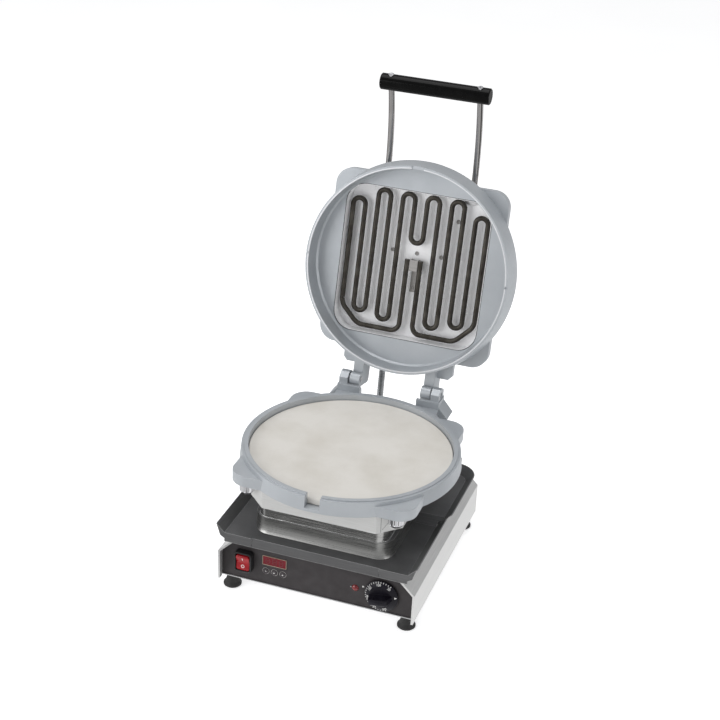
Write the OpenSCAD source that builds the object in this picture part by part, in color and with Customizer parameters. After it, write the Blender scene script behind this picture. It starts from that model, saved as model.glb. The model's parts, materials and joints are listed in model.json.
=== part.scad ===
// Electric pizza maker: a stainless base with controls and a drip tray, four posts that carry a heated
// lower casting with a baking stone, and a heated lid on two rear hinges, standing open.
// Millimetres. +Z is up, the front looks along -Y, z = 0 is the surface under the feet.
// Inside the modules y is measured from the centre of the stone, and lid pieces are drawn with the lid shut.

/* [Baking stone] */
// Diameter of the round baking stone
stone_d = 310; // [290:1:330]
// Thickness of the baking stone
stone_t = 10.5; // [8:0.5:14]
// Gap all round between the stone and the casting
stone_gap = 0.8; // [0.4:0.1:1.5]

/* [Base casing] */
// Width of the casing
casing_w = 311; // [295:1:340]
// Depth of the casing
casing_d = 339; // [325:1:380]
// Distance of the casing's front edges ahead of the stone's centre
casing_front = 145; // [140:1:160]
// Height of the straight side walls
wall_h = 50; // [40:1:70]
// Height and width of the 45 degree shoulders
bevel = 35; // [25:1:38]
// Thickness of the casing sheet
sheet = 1.5; // [1:0.1:2.5]
// Thickness of the folded hems at the front edges
hem = 3; // [2.6:0.1:5]
// Depth of the front hems
hem_depth = 9; // [5:1:12]
// Depth of the front panel behind the front edges
panel_recess = 14; // [11:1:18]
// Thickness of the front panel
panel_t = 2; // [1.5:0.1:4]

/* [Feet] */
// Height of the rubber feet
foot_h = 20; // [14:1:30]
// Diameter of the feet at the bottom
foot_d = 28; // [24:1:34]
// Distance of the feet from the casing's sides
foot_inset_x = 15.5; // [15:0.5:30]
// Distance of the feet from the casing's front and back edges
foot_inset_y = 21.5; // [21.5:0.5:40]
// Diameter of the screws in the feet
foot_screw_d = 5; // [4:0.5:5.5]

/* [Drip tray] */
// Thickness of the tray's sheet
tray_t = 1.5; // [1:0.1:2.5]
// Half width of the front floor
tray_floor_x = 144; // [138:1:150]
// Height of the lips, which flare at 45 degrees
lip_h = 13; // [8:1:16]
// Height of the step up to the rear floor
tray_step = 10; // [6:1:14]
// Extra half width of the rear floor
rear_widen = 8; // [4:1:10]
// Distance of the rear floor's back edge behind the stone's centre
rear_floor_y = 137; // [134:1:145]
// Corner radius of the rear floor
rear_corner_r = 20; // [12:1:24]
// Depth of the shelf behind the rear lip
shelf_d = 18; // [10:1:24]
// Drop of the front flange over the panel
flange_drop = 15; // [10:1:20]
// Forward slope of the front flange
flange_slope = 2; // [1:0.5:6]

/* [Pedestal and posts] */
// Half width of the raised pedestal
pedestal_x = 108; // [104:1:118]
// Half depth of the raised pedestal
pedestal_y = 126; // [124:1:130]
// Height of the pedestal over the front floor
pedestal_h = 28; // [20:1:36]
// Corner radius of the pedestal
pedestal_r = 24; // [14:1:30]
// Diameter of the posts
post_d = 17; // [14:0.5:18]
// Height of the posts
post_h = 23; // [16:1:40]
// Distance of the posts' axes from the side faces of the pedestal
post_inset_x = 23; // [20:0.5:34]
// Distance of the posts' axes from its front and back faces
post_inset_y = 9.5; // [9.5:0.5:20]
// Diameter of the bolts inside the posts
post_bolt_d = 8; // [6:0.5:8.5]

/* [Lower casting] */
// Height of the sheet-metal pan under the casting
pan_h = 32.5; // [30:0.5:45]
// Half width of the lower pan
pan_x = 120; // [118:1:128]
// Half depth of the lower pan
pan_y = 138; // [134:1:141]
// Half side of the square with the four ears
ear_half = 143; // [141:1:150]
// Corner radius of the ears
ear_r = 27; // [15:1:35]
// Height of the ears of the lower casting
ear_h = 17; // [12:1:20]
// Thickness of the shelf under the stone
shelf_t = 4.5; // [3:0.5:6]
// Height of the rim over the stone
rim_over_stone = 9; // [5:0.5:14]
// Width of the flat rim around the stone
rim_w = 10.5; // [9:0.5:14]
// Width of the lower outer step of the rim
rim_step_w = 4; // [2:0.5:6]
// Height of the outer step of the rim
rim_step_h = 1.6; // [0.8:0.2:3]
// Outward draft of the ring's outer wall
ring_draft = 2.5; // [0:0.5:4]
// Half side of the heater opening under the stone
lower_opening = 112; // [100:1:115]
// Width of the finger notch at the front
notch_w = 23; // [16:1:30]

/* [Nuts under and over the ears] */
// Diameter of the domed nuts
nut_d = 23; // [16:1:24]
// Height of the domed nuts
nut_h = 19; // [12:0.5:22]
// Distance of a nut's axis from the ear's side face
nut_inset_x = 27; // [24:1:32]
// Distance of a nut's axis from the ear's front or back face
nut_inset_y = 14; // [12.5:0.5:20]
// Gap between a nut and the corner face of the pan
nut_gap = 1.5; // [0.5:0.5:4]
// Grip grooves around each nut
nut_grooves = 12; // [8:1:16]

/* [Lid] */
// Angle of the open lid
lid_open = 103.2; // [95:0.1:108]
// Gap between the two rims when the lid is shut
lid_gap = 0.4; // [0.3:0.1:2]
// Depth of the lid's cup
lid_depth = 35.6; // [25:0.1:45]
// Thickness of the cup's wall at the rim
lid_wall = 6; // [4:0.5:8]
// Outward draft of the cup's outer wall
lid_draft = 5; // [2:0.5:7]
// Thickness of the cup's floor
lid_floor_t = 6; // [5.5:0.5:10]
// Height of the lid's square flange with the ears
lid_ear_h = 15; // [10:1:18]
// Half side of the heater pocket
pocket_half = 120.5; // [118.5:0.5:122]
// Distance of the pocket's middle ahead of the stone's centre
pocket_ahead = 2; // [1.5:0.5:3]
// Corner radius of the heater pocket
pocket_r = 32; // [26:1:36]
// Depth of the polished reflector pan
reflector_depth = 24; // [20:1:30]
// Thickness of the reflector sheet
reflector_t = 1; // [0.6:0.1:1.5]
// Height of the lid's sheet-metal cover
cover_h = 23; // [18:1:32]
// Half width of the lid's cover
cover_x = 130; // [128:1:133]
// Half depth of the lid's cover
cover_y = 139; // [134:1:141]

/* [Heaters] */
// Diameter of the heater tubes
tube_d = 8; // [6:0.5:8.5]
// Distance between the heater's parallel legs
leg_pitch = 20.4; // [18:0.2:20.8]
// Distance of the heater's front bends ahead of the centre
front_bend = 105.5; // [96:0.5:106]
// Distance of the outer pair's front bends ahead of the centre
outer_front_bend = 86; // [76:1:88]
// Distance of the heater's back run behind the centre
back_run = 109; // [104:1:110]
// Distance of the lid heater from the mouth of its pocket
heater_inset = 12; // [6:1:15]
// Distance of the lower heater under the casting
heater_drop = 8; // [6:1:12]

/* [Hinges] */
// Distance of the hinge axis behind the ring
hinge_reach = 23.1; // [22:0.1:28]
// Height of the hinge axis over the rim
hinge_rise = 7.5; // [7:0.1:10]
// Diameter of the hinge pins
pin_d = 9; // [6:0.5:10]
// Radial running gap around the pins in the lid's arms
pin_play = 0.05; // [0.02:0.01:0.1]
// Outer radius of the arms' knuckles
knuckle_r = 10.5; // [9.5:0.1:11.5]
// Distance of the arms' inner faces from the middle
arm_inner_x = 51.8; // [48:0.2:56]
// Width of the arms
arm_w = 16.3; // [12:0.1:20]
// Side gap between an arm and its lug
arm_gap = 2.1; // [0.3:0.1:3]
// Width of the lugs
lug_w = 14; // [12:0.5:20]
// Height of the arms over the hinge axis
arm_h = 43; // [36:1:45]
// Depth of the arms behind the hinge axis
arm_back = 12.5; // [11:0.5:14]

/* [Handle] */
// Diameter of the handle rods
rod_d = 10; // [8:0.5:12]
// Half distance between the rods
rod_x = 72.5; // [60:0.5:76]
// Bend radius of the rods
rod_bend_r = 370; // [300:10:420]
// Angle of the rods' bend
rod_bend = 27.4; // [20:0.2:32]
// Distance ahead of the stone's centre where the bend starts
rod_bend_y = 115; // [105:1:125]
// Straight length of the rods on the lid's cover
rod_seat = 70; // [50:1:90]
// Diameter of the grip
grip_d = 26; // [22:1:32]
// Length of the grip
grip_l = 178; // [165:1:200]
// Height of the clamps' feet under the rods
clamp_lift = 2; // [1:0.5:5]
// Distance between the two clamps of a rod
clamp_pitch = 42; // [30:1:46]

/* [Controls] */
// Distance of the rocker switch from the middle
switch_x = 116.6; // [112:0.2:118]
// Height of the rocker switch over the casing's bottom
switch_z = 35.4; // [32:0.2:38]
// Width of the rocker
rocker_w = 21; // [16:0.5:22]
// Height of the rocker
rocker_h = 28; // [22:0.5:29]
// Wall of the switch's collar
collar_wall = 2.5; // [2:0.5:3.5]
// Distance that the switch's collar stands out of the panel
collar_out = 12; // [6:1:13]
// Distance of the display's middle from the middle of the panel
display_x = 69; // [66:0.5:72]
// Height of the display's middle over the casing's bottom
display_z = 42; // [40:0.5:46]
// Width of the display window
display_w = 40; // [30:1:42]
// Height of the display window
display_h = 18.5; // [12:0.5:20]
// Width of the display's frame
display_frame_w = 1.2; // [0.8:0.1:2]
// Height of the keys over the casing's bottom
key_z = 23.4; // [20:0.2:25]
// Distance between the keys
key_pitch = 13.7; // [12:0.1:16]
// Diameter of the keys
key_d = 9; // [6:0.5:10]
// Travel of the keys
key_travel = 1.2; // [0.6:0.1:1.6]
// Distance of the lamp from the middle of the panel
lamp_x = 60; // [56:0.5:66]
// Height of the lamp over the casing's bottom
lamp_z = 31.5; // [28:0.5:36]
// Diameter of the lamp's lens
lamp_d = 11; // [8:0.5:14]
// Distance of the knob from the middle of the panel
knob_x = 102; // [100:0.5:106]
// Height of the knob over the casing's bottom
knob_z = 30.3; // [29.5:0.1:34]
// Diameter of the knob's disc
knob_d = 52; // [44:1:54]
// Thickness of the knob's disc
knob_t = 7; // [5:0.5:9]
// Distance that the knob's grip stands out of the disc
knob_grip_out = 13; // [8:1:18]
// Diameter of the thermostat's shaft
shaft_d = 6; // [5:0.5:8]

/* [Power conduit] */
// Diameter of the metal conduit to the lid
conduit_d = 11; // [8:0.5:13]
// Distance of the conduit to the left of the middle
conduit_x = 35; // [28:1:40]
// Height of the conduit's outlet over the casing's bottom
conduit_z = 60; // [52:1:64]
// How far the conduit runs straight back out of the casing before it turns up
conduit_foot_pull = 46; // [40:1:60]
// How far the conduit runs straight down out of the lid before it turns
conduit_top_pull = 110; // [80:5:150]
// Length of the threaded glands
gland_l = 14; // [10:1:18]
// Diameter of the mains cable that the inlet takes
cable_d = 8; // [6:0.5:10]

/* [Hidden] */

$fn = 96;
eps = 0.01;             // overlap that lets cuts pass right through a face
seat = 0.02;            // gap between two bodies' flat faces that rest on each other
tan_half = tan(22.5);   // a 45 degree bend moves by this share of a sheet's thickness
thinner = 0.02;         // a straight stretch is this much thinner than the bend that it enters
entry = 0.5;            // and goes this far into it

// heights over the ground
z_casing = foot_h;
z_bend = z_casing + wall_h;
z_top = z_bend + bevel;
z_floor = z_top + tray_t;
z_rear_floor = z_floor + tray_step;
z_pedestal = z_floor + pedestal_h;
z_pan = z_pedestal + post_h;
z_ears = z_pan + pan_h;
z_shelf = z_ears + shelf_t;
z_stone = z_shelf + stone_t;
z_rim = z_stone + rim_over_stone;

// rings and hinge
stone_r = stone_d / 2;
well_r = stone_r + stone_gap;
ring_r = well_r + rim_w;
foot_of_ring_r = ring_r + ring_draft;
hinge_y = ring_r + hinge_reach;
hinge_z = z_rim + hinge_rise;
lug_x = arm_inner_x + arm_w + arm_gap;
lug_end = lug_x + lug_w;
lug_half = 13.5;        // half depth of a lug
lug_shoulder = 5;       // height of its shoulders over the axis
lug_top = 11.5;
heel_r = arm_back + 0.4;   // the arm's heel turns within this radius in front of the axis
arm_face = 6;           // height of the arm's lower face over the axis, lid shut
ear_over_rim = z_ears + ear_h;

// lid, drawn shut
z_lid_rim = z_rim + lid_gap;
z_lid_floor = z_lid_rim + lid_depth;
z_lid_back = z_lid_floor + lid_floor_t;
z_lid_ears = z_lid_back - 1;
z_lid_top = z_lid_ears + lid_ear_h;
z_cover = z_lid_top + cover_h;
lid_r = ring_r + 0.4;
lid_back_r = lid_r + lid_draft;
lid_in_r = lid_r - lid_wall + 1;
lid_floor_r = lid_r - lid_wall - 0.5;
z_lid_heater = z_lid_floor + heater_inset;
z_reflector = z_lid_floor + reflector_depth;
z_rods = z_cover + clamp_lift + rod_d / 2;
recess_margin = 7;      // the cover stands this far outside the recess in the lid's back

// handle
grip_y = -rod_bend_y - rod_bend_r * sin(rod_bend);
grip_z = z_rods - rod_bend_r * (1 - cos(rod_bend));

// place of a point of the shut lid once the lid is open
function open_y(y, z) = hinge_y + (y - hinge_y) * cos(lid_open) + (z - hinge_z) * sin(lid_open);
function open_z(y, z) = hinge_z - (y - hinge_y) * sin(lid_open) + (z - hinge_z) * cos(lid_open);

// the origin lies under the middle of the whole object, from the ring's front to the open handle's back
rod_out = rod_d / 2;
rear_reach = max([for (a = [0 : 1 : rod_bend]) open_y(-rod_bend_y - (rod_bend_r + rod_out) * sin(a),
    z_rods + rod_out - (rod_bend_r + rod_out) * (1 - cos(a)))]);
stone_y = (foot_of_ring_r - rear_reach) / 2;

// base
front_y = -casing_front;
back_y = casing_d - casing_front;
panel_y = front_y + panel_recess;
inner_x = casing_w / 2 - sheet;
foot_x = casing_w / 2 - foot_inset_x;
foot_ys = [front_y + foot_inset_y, back_y - foot_inset_y];
foot_top_d = 17;

// tray
rear_floor_x = tray_floor_x + rear_widen;
step_run = 15;          // length of the sloping step between the two floors
shelf_back = rear_floor_y + lip_h + shelf_d;
flange_y = front_y - tray_t - 0.1; // the flange hangs just ahead of the casing's edges
post_x = pedestal_x - post_inset_x;
post_y = pedestal_y - post_inset_y;

// nuts
nut_x = ear_half - nut_inset_x;
nut_y = ear_half - nut_inset_y;
nut_bolt_d = 10;

// lower heater
z_lower_heater = z_ears - heater_drop;
z_lower_reflector = z_lower_heater - tube_d / 2 - 5;

// controls
z_display = z_casing + display_z;
z_keys = z_casing + key_z;
z_lamp = z_casing + lamp_z;
z_knob = z_casing + knob_z;
z_switch = z_casing + switch_z;
rocker_gap = 0.3;
rocker_tilt = 7;        // the rocker rests tilted by this angle to either side
rocker_pivot = collar_out - 6;
pivot_d = 3;
key_gap = 0.3;
key_out = 1.8;
knob_gap = 1.5;
thermostat_d = 34;
thermostat_l = 26;
board_y = panel_y + panel_t + 6;

// conduit
z_conduit = z_casing + conduit_z;
lid_gland_z = z_lid_top + cover_h / 2;
conduit_end_y = open_y(cover_y + gland_l, lid_gland_z);
conduit_end_z = open_z(cover_y + gland_l, lid_gland_z);
// a cubic curve in the yz plane from the rear gland to the lid's gland
conduit_y = [back_y + gland_l, back_y + gland_l + conduit_foot_pull,
    conduit_end_y - conduit_top_pull * sin(lid_open - 90), conduit_end_y];
conduit_h = [z_conduit, z_conduit, conduit_end_z - conduit_top_pull * cos(lid_open - 90), conduit_end_z - seat];
conduit_sides = 12;
conduit_steps = 26;
function along(v, t) = pow(1 - t, 3) * v[0] + 3 * t * pow(1 - t, 2) * v[1] + 3 * t * t * (1 - t) * v[2] + pow(t, 3) * v[3];
function slope(v, t) = pow(1 - t, 2) * (v[1] - v[0]) + 2 * t * (1 - t) * (v[2] - v[1]) + t * t * (v[3] - v[2]);
conduit_points = [for (i = [0 : conduit_steps]) let (t = i / conduit_steps, dy = slope(conduit_y, t),
    dz = slope(conduit_h, t), n = norm([dy, dz])) for (k = [0 : conduit_sides - 1])
    let (a = 360 * k / conduit_sides, u = conduit_d / 2 * cos(a), w = conduit_d / 2 * sin(a))
    [w, along(conduit_y, t) - u * dz / n, along(conduit_h, t) + u * dy / n]];
conduit_faces = concat([[for (k = [0 : conduit_sides - 1]) k]],
    [for (i = [0 : conduit_steps - 1], k = [0 : conduit_sides - 1]) let (m = (k + 1) % conduit_sides)
        [i * conduit_sides + m, i * conduit_sides + k, (i + 1) * conduit_sides + k, (i + 1) * conduit_sides + m]],
    [[for (k = [conduit_sides - 1 : -1 : 0]) conduit_steps * conduit_sides + k]]);

// ---- shared shapes ----

module in_place() { translate([0, stone_y, 0]) children(); }

// carries pieces drawn on the shut lid to the open lid
module on_open_lid() {
    in_place() translate([0, hinge_y, hinge_z]) rotate([-lid_open, 0, 0])
        translate([0, -hinge_y, -hinge_z]) children();
}

module both_sides() {
    children();
    mirror([1, 0, 0]) children();
}

module at_corners(x, y) { for (sx = [-1, 1], sy = [-1, 1]) translate([sx * x, sy * y, 0]) children(); }

module rounded_square(hx, hy, r) {
    square([2 * (hx - r), 2 * hy], center = true);
    square([2 * hx, 2 * (hy - r)], center = true);
    at_corners(hx - r, hy - r) circle(r);
}

// rectangle whose four corners are cut at 45 degrees
module cut_square(hx, hy, c) {
    polygon([[-hx, -hy + c], [-hx + c, -hy], [hx - c, -hy], [hx, -hy + c],
        [hx, hy - c], [hx - c, hy], [-hx + c, hy], [-hx, hy - c]]);
}

// corner cut that leaves nut_gap between a pan's corner face and the nut beside it
function corner_cut(hx, hy) = hx + hy - (nut_x + nut_y - (nut_d / 2 + nut_gap) * sqrt(2));

// profile in the yz plane, extruded from x0 to x1
module along_x(x0, x1) {
    translate([x0, 0, 0]) rotate([90, 0, 90]) linear_extrude(x1 - x0) children();
}

// profile in the xz plane, extruded from y0 to y1
module along_y(y0, y1) {
    translate([0, y1, 0]) rotate([90, 0, 0]) linear_extrude(y1 - y0) children();
}

module round_x(r, l) { rotate([0, 90, 0]) cylinder(r = r, h = l); }
module round_y(r, l) { rotate([-90, 0, 0]) cylinder(r = r, h = l); }

// ---- casing ----

// section of the casing: straight walls and 45 degree shoulders, drawn in by "inset"
module casing_section(inset, bottom) {
    x = casing_w / 2 - inset;
    shoulder_x = casing_w / 2 - bevel - inset * tan_half;
    shoulder_z = z_bend - inset * tan_half;
    polygon([[-x, bottom], [-x, shoulder_z], [-shoulder_x, z_top - inset],
        [shoulder_x, z_top - inset], [x, shoulder_z], [x, bottom]]);
}

module casing() {
    color("silver") in_place() difference() {
        along_y(front_y, back_y) casing_section(0, z_casing);
        along_y(front_y + hem_depth, back_y + eps) casing_section(sheet, z_casing - eps);
        along_y(front_y - eps, front_y + hem_depth + eps) casing_section(hem, z_casing - eps);
    }
}

module vent_slots(columns, pitch, w, h) {
    for (i = [0 : columns - 1]) translate([(i - (columns - 1) / 2) * pitch, 0]) {
        square([w, h - w], center = true);
        for (s = [-1, 1]) translate([0, s * (h - w) / 2]) circle(w / 2, $fn = 32);
    }
}

module bottom_plate() {
    lip_ahead = 2;
    color("silver") in_place() translate([0, 0, z_casing]) difference() {
        linear_extrude(sheet) translate([-inner_x, panel_y - lip_ahead])
            square([2 * inner_x, back_y - sheet - panel_y + lip_ahead]);
        for (y = foot_ys, s = [-1, 1]) translate([s * foot_x, y, -eps])
            cylinder(d = foot_screw_d + 0.4, h = sheet + 2 * eps);
        translate([0, (panel_y + back_y) / 2, -eps]) linear_extrude(sheet + 2 * eps)
            for (row = [-1, 1]) translate([0, row * 45]) vent_slots(9, 14, 5, 50);
    }
}

module rear_panel() {
    color("silver") in_place() difference() {
        along_y(back_y - sheet, back_y) casing_section(sheet, z_casing);
        along_y(back_y - sheet - eps, back_y + eps) translate([75, z_casing + wall_h * 0.62])
            vent_slots(8, 9, 4, 26);
        translate([-conduit_x, back_y - sheet - eps, z_conduit]) round_y(conduit_d / 2, sheet + 2 * eps);
        translate([inlet_x, back_y - sheet - eps, z_inlet]) round_y(cable_d / 2 + 1.5, sheet + 2 * eps);
    }
}

module front_panel() {
    color([0.15, 0.13, 0.14]) in_place() difference() {
        along_y(panel_y, panel_y + panel_t) casing_section(sheet, z_casing + sheet);
        translate([0, panel_y - eps, 0]) {
            translate([-switch_x, 0, z_switch]) rotate([-90, 0, 0]) linear_extrude(panel_t + 2 * eps)
                square([rocker_w + 2 * rocker_gap, rocker_h + 2 * rocker_gap], center = true);
            for (i = [-1 : 1]) translate([-display_x + i * key_pitch, 0, z_keys])
                round_y(key_d / 2 + key_gap, panel_t + 2 * eps);
            translate([lamp_x, 0, z_lamp]) round_y(lamp_d / 2 - 1.5, panel_t + 2 * eps);
            translate([knob_x, 0, z_knob]) round_y(shaft_d / 2 + 1, panel_t + 2 * eps);
        }
        translate([-display_x, panel_y - eps, z_display]) rotate([-90, 0, 0]) linear_extrude(panel_t + 2 * eps)
            square([display_w - 4, display_h - 4], center = true);
    }
}

// angle brackets that tie the panel to the side walls
module panel_brackets() {
    leg = 10;
    bracket_h = 28;
    color("silver") in_place() both_sides()
        translate([inner_x - leg, panel_y + panel_t, z_casing + sheet + 4]) difference() {
            cube([leg, leg, bracket_h]);
            translate([-eps, sheet, -eps]) cube([leg - sheet + eps, leg, bracket_h + 2 * eps]);
        }
}

// ---- drip tray ----

// side view of the tray's sheet: front flange, front floor, step, rear floor, rear lip, shelf and skirt
module tray_side_view() {
    t = tray_t;
    k = t * tan_half;
    back = rear_floor_y;
    s0 = -step_run / 2;
    s1 = step_run / 2;
    polygon([
        [flange_y - flange_slope, z_floor - flange_drop], [flange_y, z_floor], [s0, z_floor],
        [s1, z_rear_floor], [back, z_rear_floor], [back + lip_h, z_rear_floor + lip_h],
        [shelf_back, z_rear_floor + lip_h], [shelf_back, z_top], [shelf_back - t, z_top],
        [shelf_back - t, z_rear_floor + lip_h - t], [back + lip_h + k, z_rear_floor + lip_h - t],
        [back + k, z_rear_floor - t], [s1 + k / 2, z_rear_floor - t], [s0 + k / 2, z_floor - t],
        [flange_y + t, z_floor - t], [flange_y - flange_slope + t, z_floor - flange_drop]]);
}

// lip section at the floor's edge: x is measured outwards from the edge
module lip_section(z) {
    k = tray_t * tan_half;
    polygon([[-eps, z], [0, z], [lip_h, z + lip_h], [lip_h + tray_t * 0.7, z + lip_h - tray_t * 0.7],
        [k, z - tray_t], [-eps, z - tray_t]]);
}

module tray_front_lip() {
    translate([tray_floor_x, 0, 0]) along_y(flange_y, 0) lip_section(z_floor);
    // the flange's curved end under the lip's front corner
    along_y(flange_y - tray_t, flange_y) polygon([
        [tray_floor_x - 44, z_floor - flange_drop * 0.7], [tray_floor_x - 20, z_floor - flange_drop * 0.95],
        [tray_floor_x - 4, z_floor - flange_drop * 0.85], [tray_floor_x + 7, z_floor - flange_drop * 0.4],
        [tray_floor_x + lip_h, z_floor + lip_h], [tray_floor_x, z_floor], [tray_floor_x - 44, z_floor]]);
}

module tray_rear_lip() {
    x = rear_floor_x - rear_corner_r;
    y = rear_floor_y - rear_corner_r;
    translate([rear_floor_x, 0, 0]) along_y(0, y) lip_section(z_rear_floor);
    translate([x, y, 0]) rotate_extrude(angle = 90) translate([rear_corner_r, 0]) lip_section(z_rear_floor);
    translate([0, 0, z_rear_floor - tray_t]) linear_extrude(tray_t) intersection() {
        translate([x, y]) circle(rear_corner_r);
        translate([x, y]) square(rear_corner_r);
    }
}

// upright piece that closes the side lips where the two floors meet
module tray_lip_joint() {
    along_y(-tray_t, 0) polygon([[tray_floor_x, z_floor - tray_t], [tray_floor_x + lip_h, z_floor + lip_h - 1],
        [rear_floor_x + lip_h, z_rear_floor + lip_h], [rear_floor_x, z_rear_floor]]);
}

module drip_tray() {
    floor_x = rear_floor_x - rear_corner_r;
    color([0.25, 0.25, 0.26]) in_place() difference() {
        union() {
            intersection() {
                along_x(-rear_floor_x, rear_floor_x) tray_side_view();
                union() {
                    translate([-tray_floor_x, 2 * flange_y, 0]) cube([2 * tray_floor_x, -2 * flange_y, z_rim]);
                    translate([-floor_x, -eps, 0]) cube([2 * floor_x, shelf_back + 1, z_rim]);
                    translate([-rear_floor_x, -eps, 0])
                        cube([2 * rear_floor_x, rear_floor_y - rear_corner_r, z_rim]);
                }
            }
            both_sides() {
                tray_front_lip();
                tray_rear_lip();
                tray_lip_joint();
            }
            translate([0, 0, z_floor - tray_t]) linear_extrude(pedestal_h + tray_t)
                rounded_square(pedestal_x, pedestal_y, pedestal_r);
        }
        translate([0, 0, z_floor - tray_t - eps]) linear_extrude(pedestal_h + eps)
            rounded_square(pedestal_x - tray_t, pedestal_y - tray_t, pedestal_r - tray_t);
        at_corners(post_x, post_y) translate([0, 0, z_pedestal - tray_t - eps])
            cylinder(d = post_bolt_d + 0.4, h = tray_t + 2 * eps);
    }
}

// ---- feet, posts ----

module feet() {
    r = foot_d / 2;
    rt = foot_top_d / 2;
    color([0.08, 0.08, 0.08]) in_place() for (y = foot_ys, s = [-1, 1]) translate([s * foot_x, y, 0])
        rotate_extrude() difference() {
            polygon([[foot_screw_d / 2, 0], [r - 1.5, 0], [r, 1.5], [r, 4], [r - 3, 7.5], [rt + 1, foot_h * 0.6],
                [rt, foot_h - 4], [rt, foot_h], [foot_screw_d / 2, foot_h]]);
            translate([0, -eps]) square([foot_screw_d + 1, 6 + eps]);
        }
}

module foot_screws() {
    color("silver") in_place() for (y = foot_ys, s = [-1, 1]) translate([s * foot_x, y, 0]) {
        translate([0, 0, 2.5]) difference() {
            cylinder(d = foot_screw_d * 1.7, h = 3.5);
            translate([-foot_screw_d, -0.6, -eps]) cube([2 * foot_screw_d, 1.2, 1.4]);
        }
        translate([0, 0, 6 - eps]) cylinder(d = foot_screw_d - 0.1, h = foot_h - 6 + sheet);
        translate([0, 0, foot_h + sheet]) cylinder(d = foot_screw_d * 1.7, h = 4, $fn = 6);
    }
}

module spacer_posts() {
    color([0.85, 0.85, 0.87]) in_place() at_corners(post_x, post_y) translate([0, 0, z_pedestal]) difference() {
        cylinder(d = post_d, h = post_h);
        translate([0, 0, -eps]) cylinder(d = post_bolt_d + 0.4, h = post_h + 2 * eps);
    }
}

module post_bolts() {
    color("silver") in_place() at_corners(post_x, post_y) {
        translate([0, 0, z_pedestal - tray_t - 5]) cylinder(d = post_bolt_d * 1.8, h = 5, $fn = 6);
        translate([0, 0, z_pedestal - tray_t - eps]) cylinder(d = post_bolt_d, h = post_h + tray_t + sheet + eps);
        translate([0, 0, z_pan + sheet]) cylinder(d = post_bolt_d * 1.8, h = 5, $fn = 6);
    }
}

// ---- lower heater housing ----

module open_pan(hx, hy, h, t) {
    c = corner_cut(hx, hy);
    difference() {
        linear_extrude(h) cut_square(hx, hy, c);
        translate([0, 0, t]) linear_extrude(h) cut_square(hx - t, hy - t, c - t * (2 - sqrt(2)));
    }
}

module lower_cover() {
    color([0.8, 0.8, 0.78]) in_place() translate([0, 0, z_pan]) difference() {
        open_pan(pan_x, pan_y, pan_h, sheet);
        at_corners(post_x, post_y) translate([0, 0, -eps]) cylinder(d = post_bolt_d + 0.4, h = sheet + 2 * eps);
    }
}

module lower_insulation() {
    hx = pan_x - sheet;
    hy = pan_y - sheet;
    c = corner_cut(pan_x, pan_y);
    color([0.85, 0.8, 0.6]) in_place() translate([0, 0, z_pan + sheet]) difference() {
        linear_extrude(z_lower_reflector - z_pan - sheet) cut_square(hx, hy, c);
        at_corners(post_x, post_y) translate([0, 0, -eps]) cylinder(d = post_bolt_d * 1.8 + 2, h = pan_h);
    }
}

module lower_reflector() {
    c = corner_cut(pan_x, pan_y);
    color([0.8, 0.8, 0.82]) in_place() translate([0, 0, z_lower_reflector]) difference() {
        linear_extrude(reflector_t) cut_square(pan_x - sheet, pan_y - sheet, c);
        at_corners(post_x, post_y) translate([0, 0, -eps]) cylinder(d = post_bolt_d * 1.8 + 2, h = 5);
    }
}

// ---- heater tubes ----

// half bend between two parallel legs: "dir" 1 turns at the back, -1 at the front
module u_bend(x, y, dir) {
    translate([x, y, 0]) rotate([0, 0, dir > 0 ? 0 : 180]) rotate_extrude(angle = 180)
        translate([leg_pitch / 2, 0]) circle(tube_d / 2, $fn = 32);
}

module leg(x, y0, y1) { translate([x, y0, 0]) rotate([-90, 0, 0]) cylinder(d = tube_d, h = y1 - y0, $fn = 32); }

// quarter or eighth bend with its centre at x, y, from the angle "from" on
module heater_bend(x, y, r, from, sweep) {
    translate([x, y, 0]) rotate([0, 0, from]) rotate_extrude(angle = sweep)
        translate([r, 0]) circle(tube_d / 2, $fn = 32);
}

// One half of the serpentine. Its six legs lie half a pitch, one and a half pitches and so on from the
// middle. The innermost leg ends in the short middle bend, and the outermost runs back along the rear
// edge to a terminal leg.
module half_heater() {
    p = leg_pitch;
    outer_x = p * 5.5;
    inner_back = back_run - 25;
    outer_back = back_run - 33;
    leg(p * 0.5, -front_bend, middle_bend);
    u_bend(p, -front_bend, -1);
    leg(p * 1.5, -front_bend, inner_back);
    u_bend(p * 2, inner_back, 1);
    leg(p * 2.5, -front_bend, inner_back);
    u_bend(p * 3, -front_bend, -1);
    leg(p * 3.5, -front_bend, outer_back);
    u_bend(p * 4, outer_back, 1);
    leg(p * 4.5, -outer_front_bend, outer_back);
    u_bend(p * 5, -outer_front_bend, -1);
    // the cut corner between the outermost leg and the back run
    cut = 30;
    r = 24;
    tangent = r * tan_half;
    leg(outer_x, -outer_front_bend, back_run - cut - tangent);
    heater_bend(outer_x - r, back_run - cut - tangent, r, 0, 45);
    translate([outer_x - r + r * cos(45), back_run - cut - tangent + r * sin(45), 0]) rotate([0, 0, 45])
        translate([0, -entry, 0]) round_y(tube_d / 2 - thinner, cut * sqrt(2) - 2 * tangent + 2 * entry);
    heater_bend(outer_x - cut - tangent, back_run - r, r, 45, 45);
    // the back run and the terminal leg
    foot_r = 14;
    turn_x = terminal_x + foot_r;
    translate([turn_x - entry, back_run, 0])
        round_x(tube_d / 2 - thinner, outer_x - cut - tangent - turn_x + 2 * entry);
    heater_bend(turn_x, back_run - foot_r, foot_r, 90, 90);
    leg(terminal_x, terminal_end, back_run - foot_r);
}

middle_bend = -49;      // the innermost legs' bend lies this far behind the centre
terminal_x = leg_pitch / 2 + 1;
terminal_end = -11;     // the terminal legs end this far behind the centre

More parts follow.
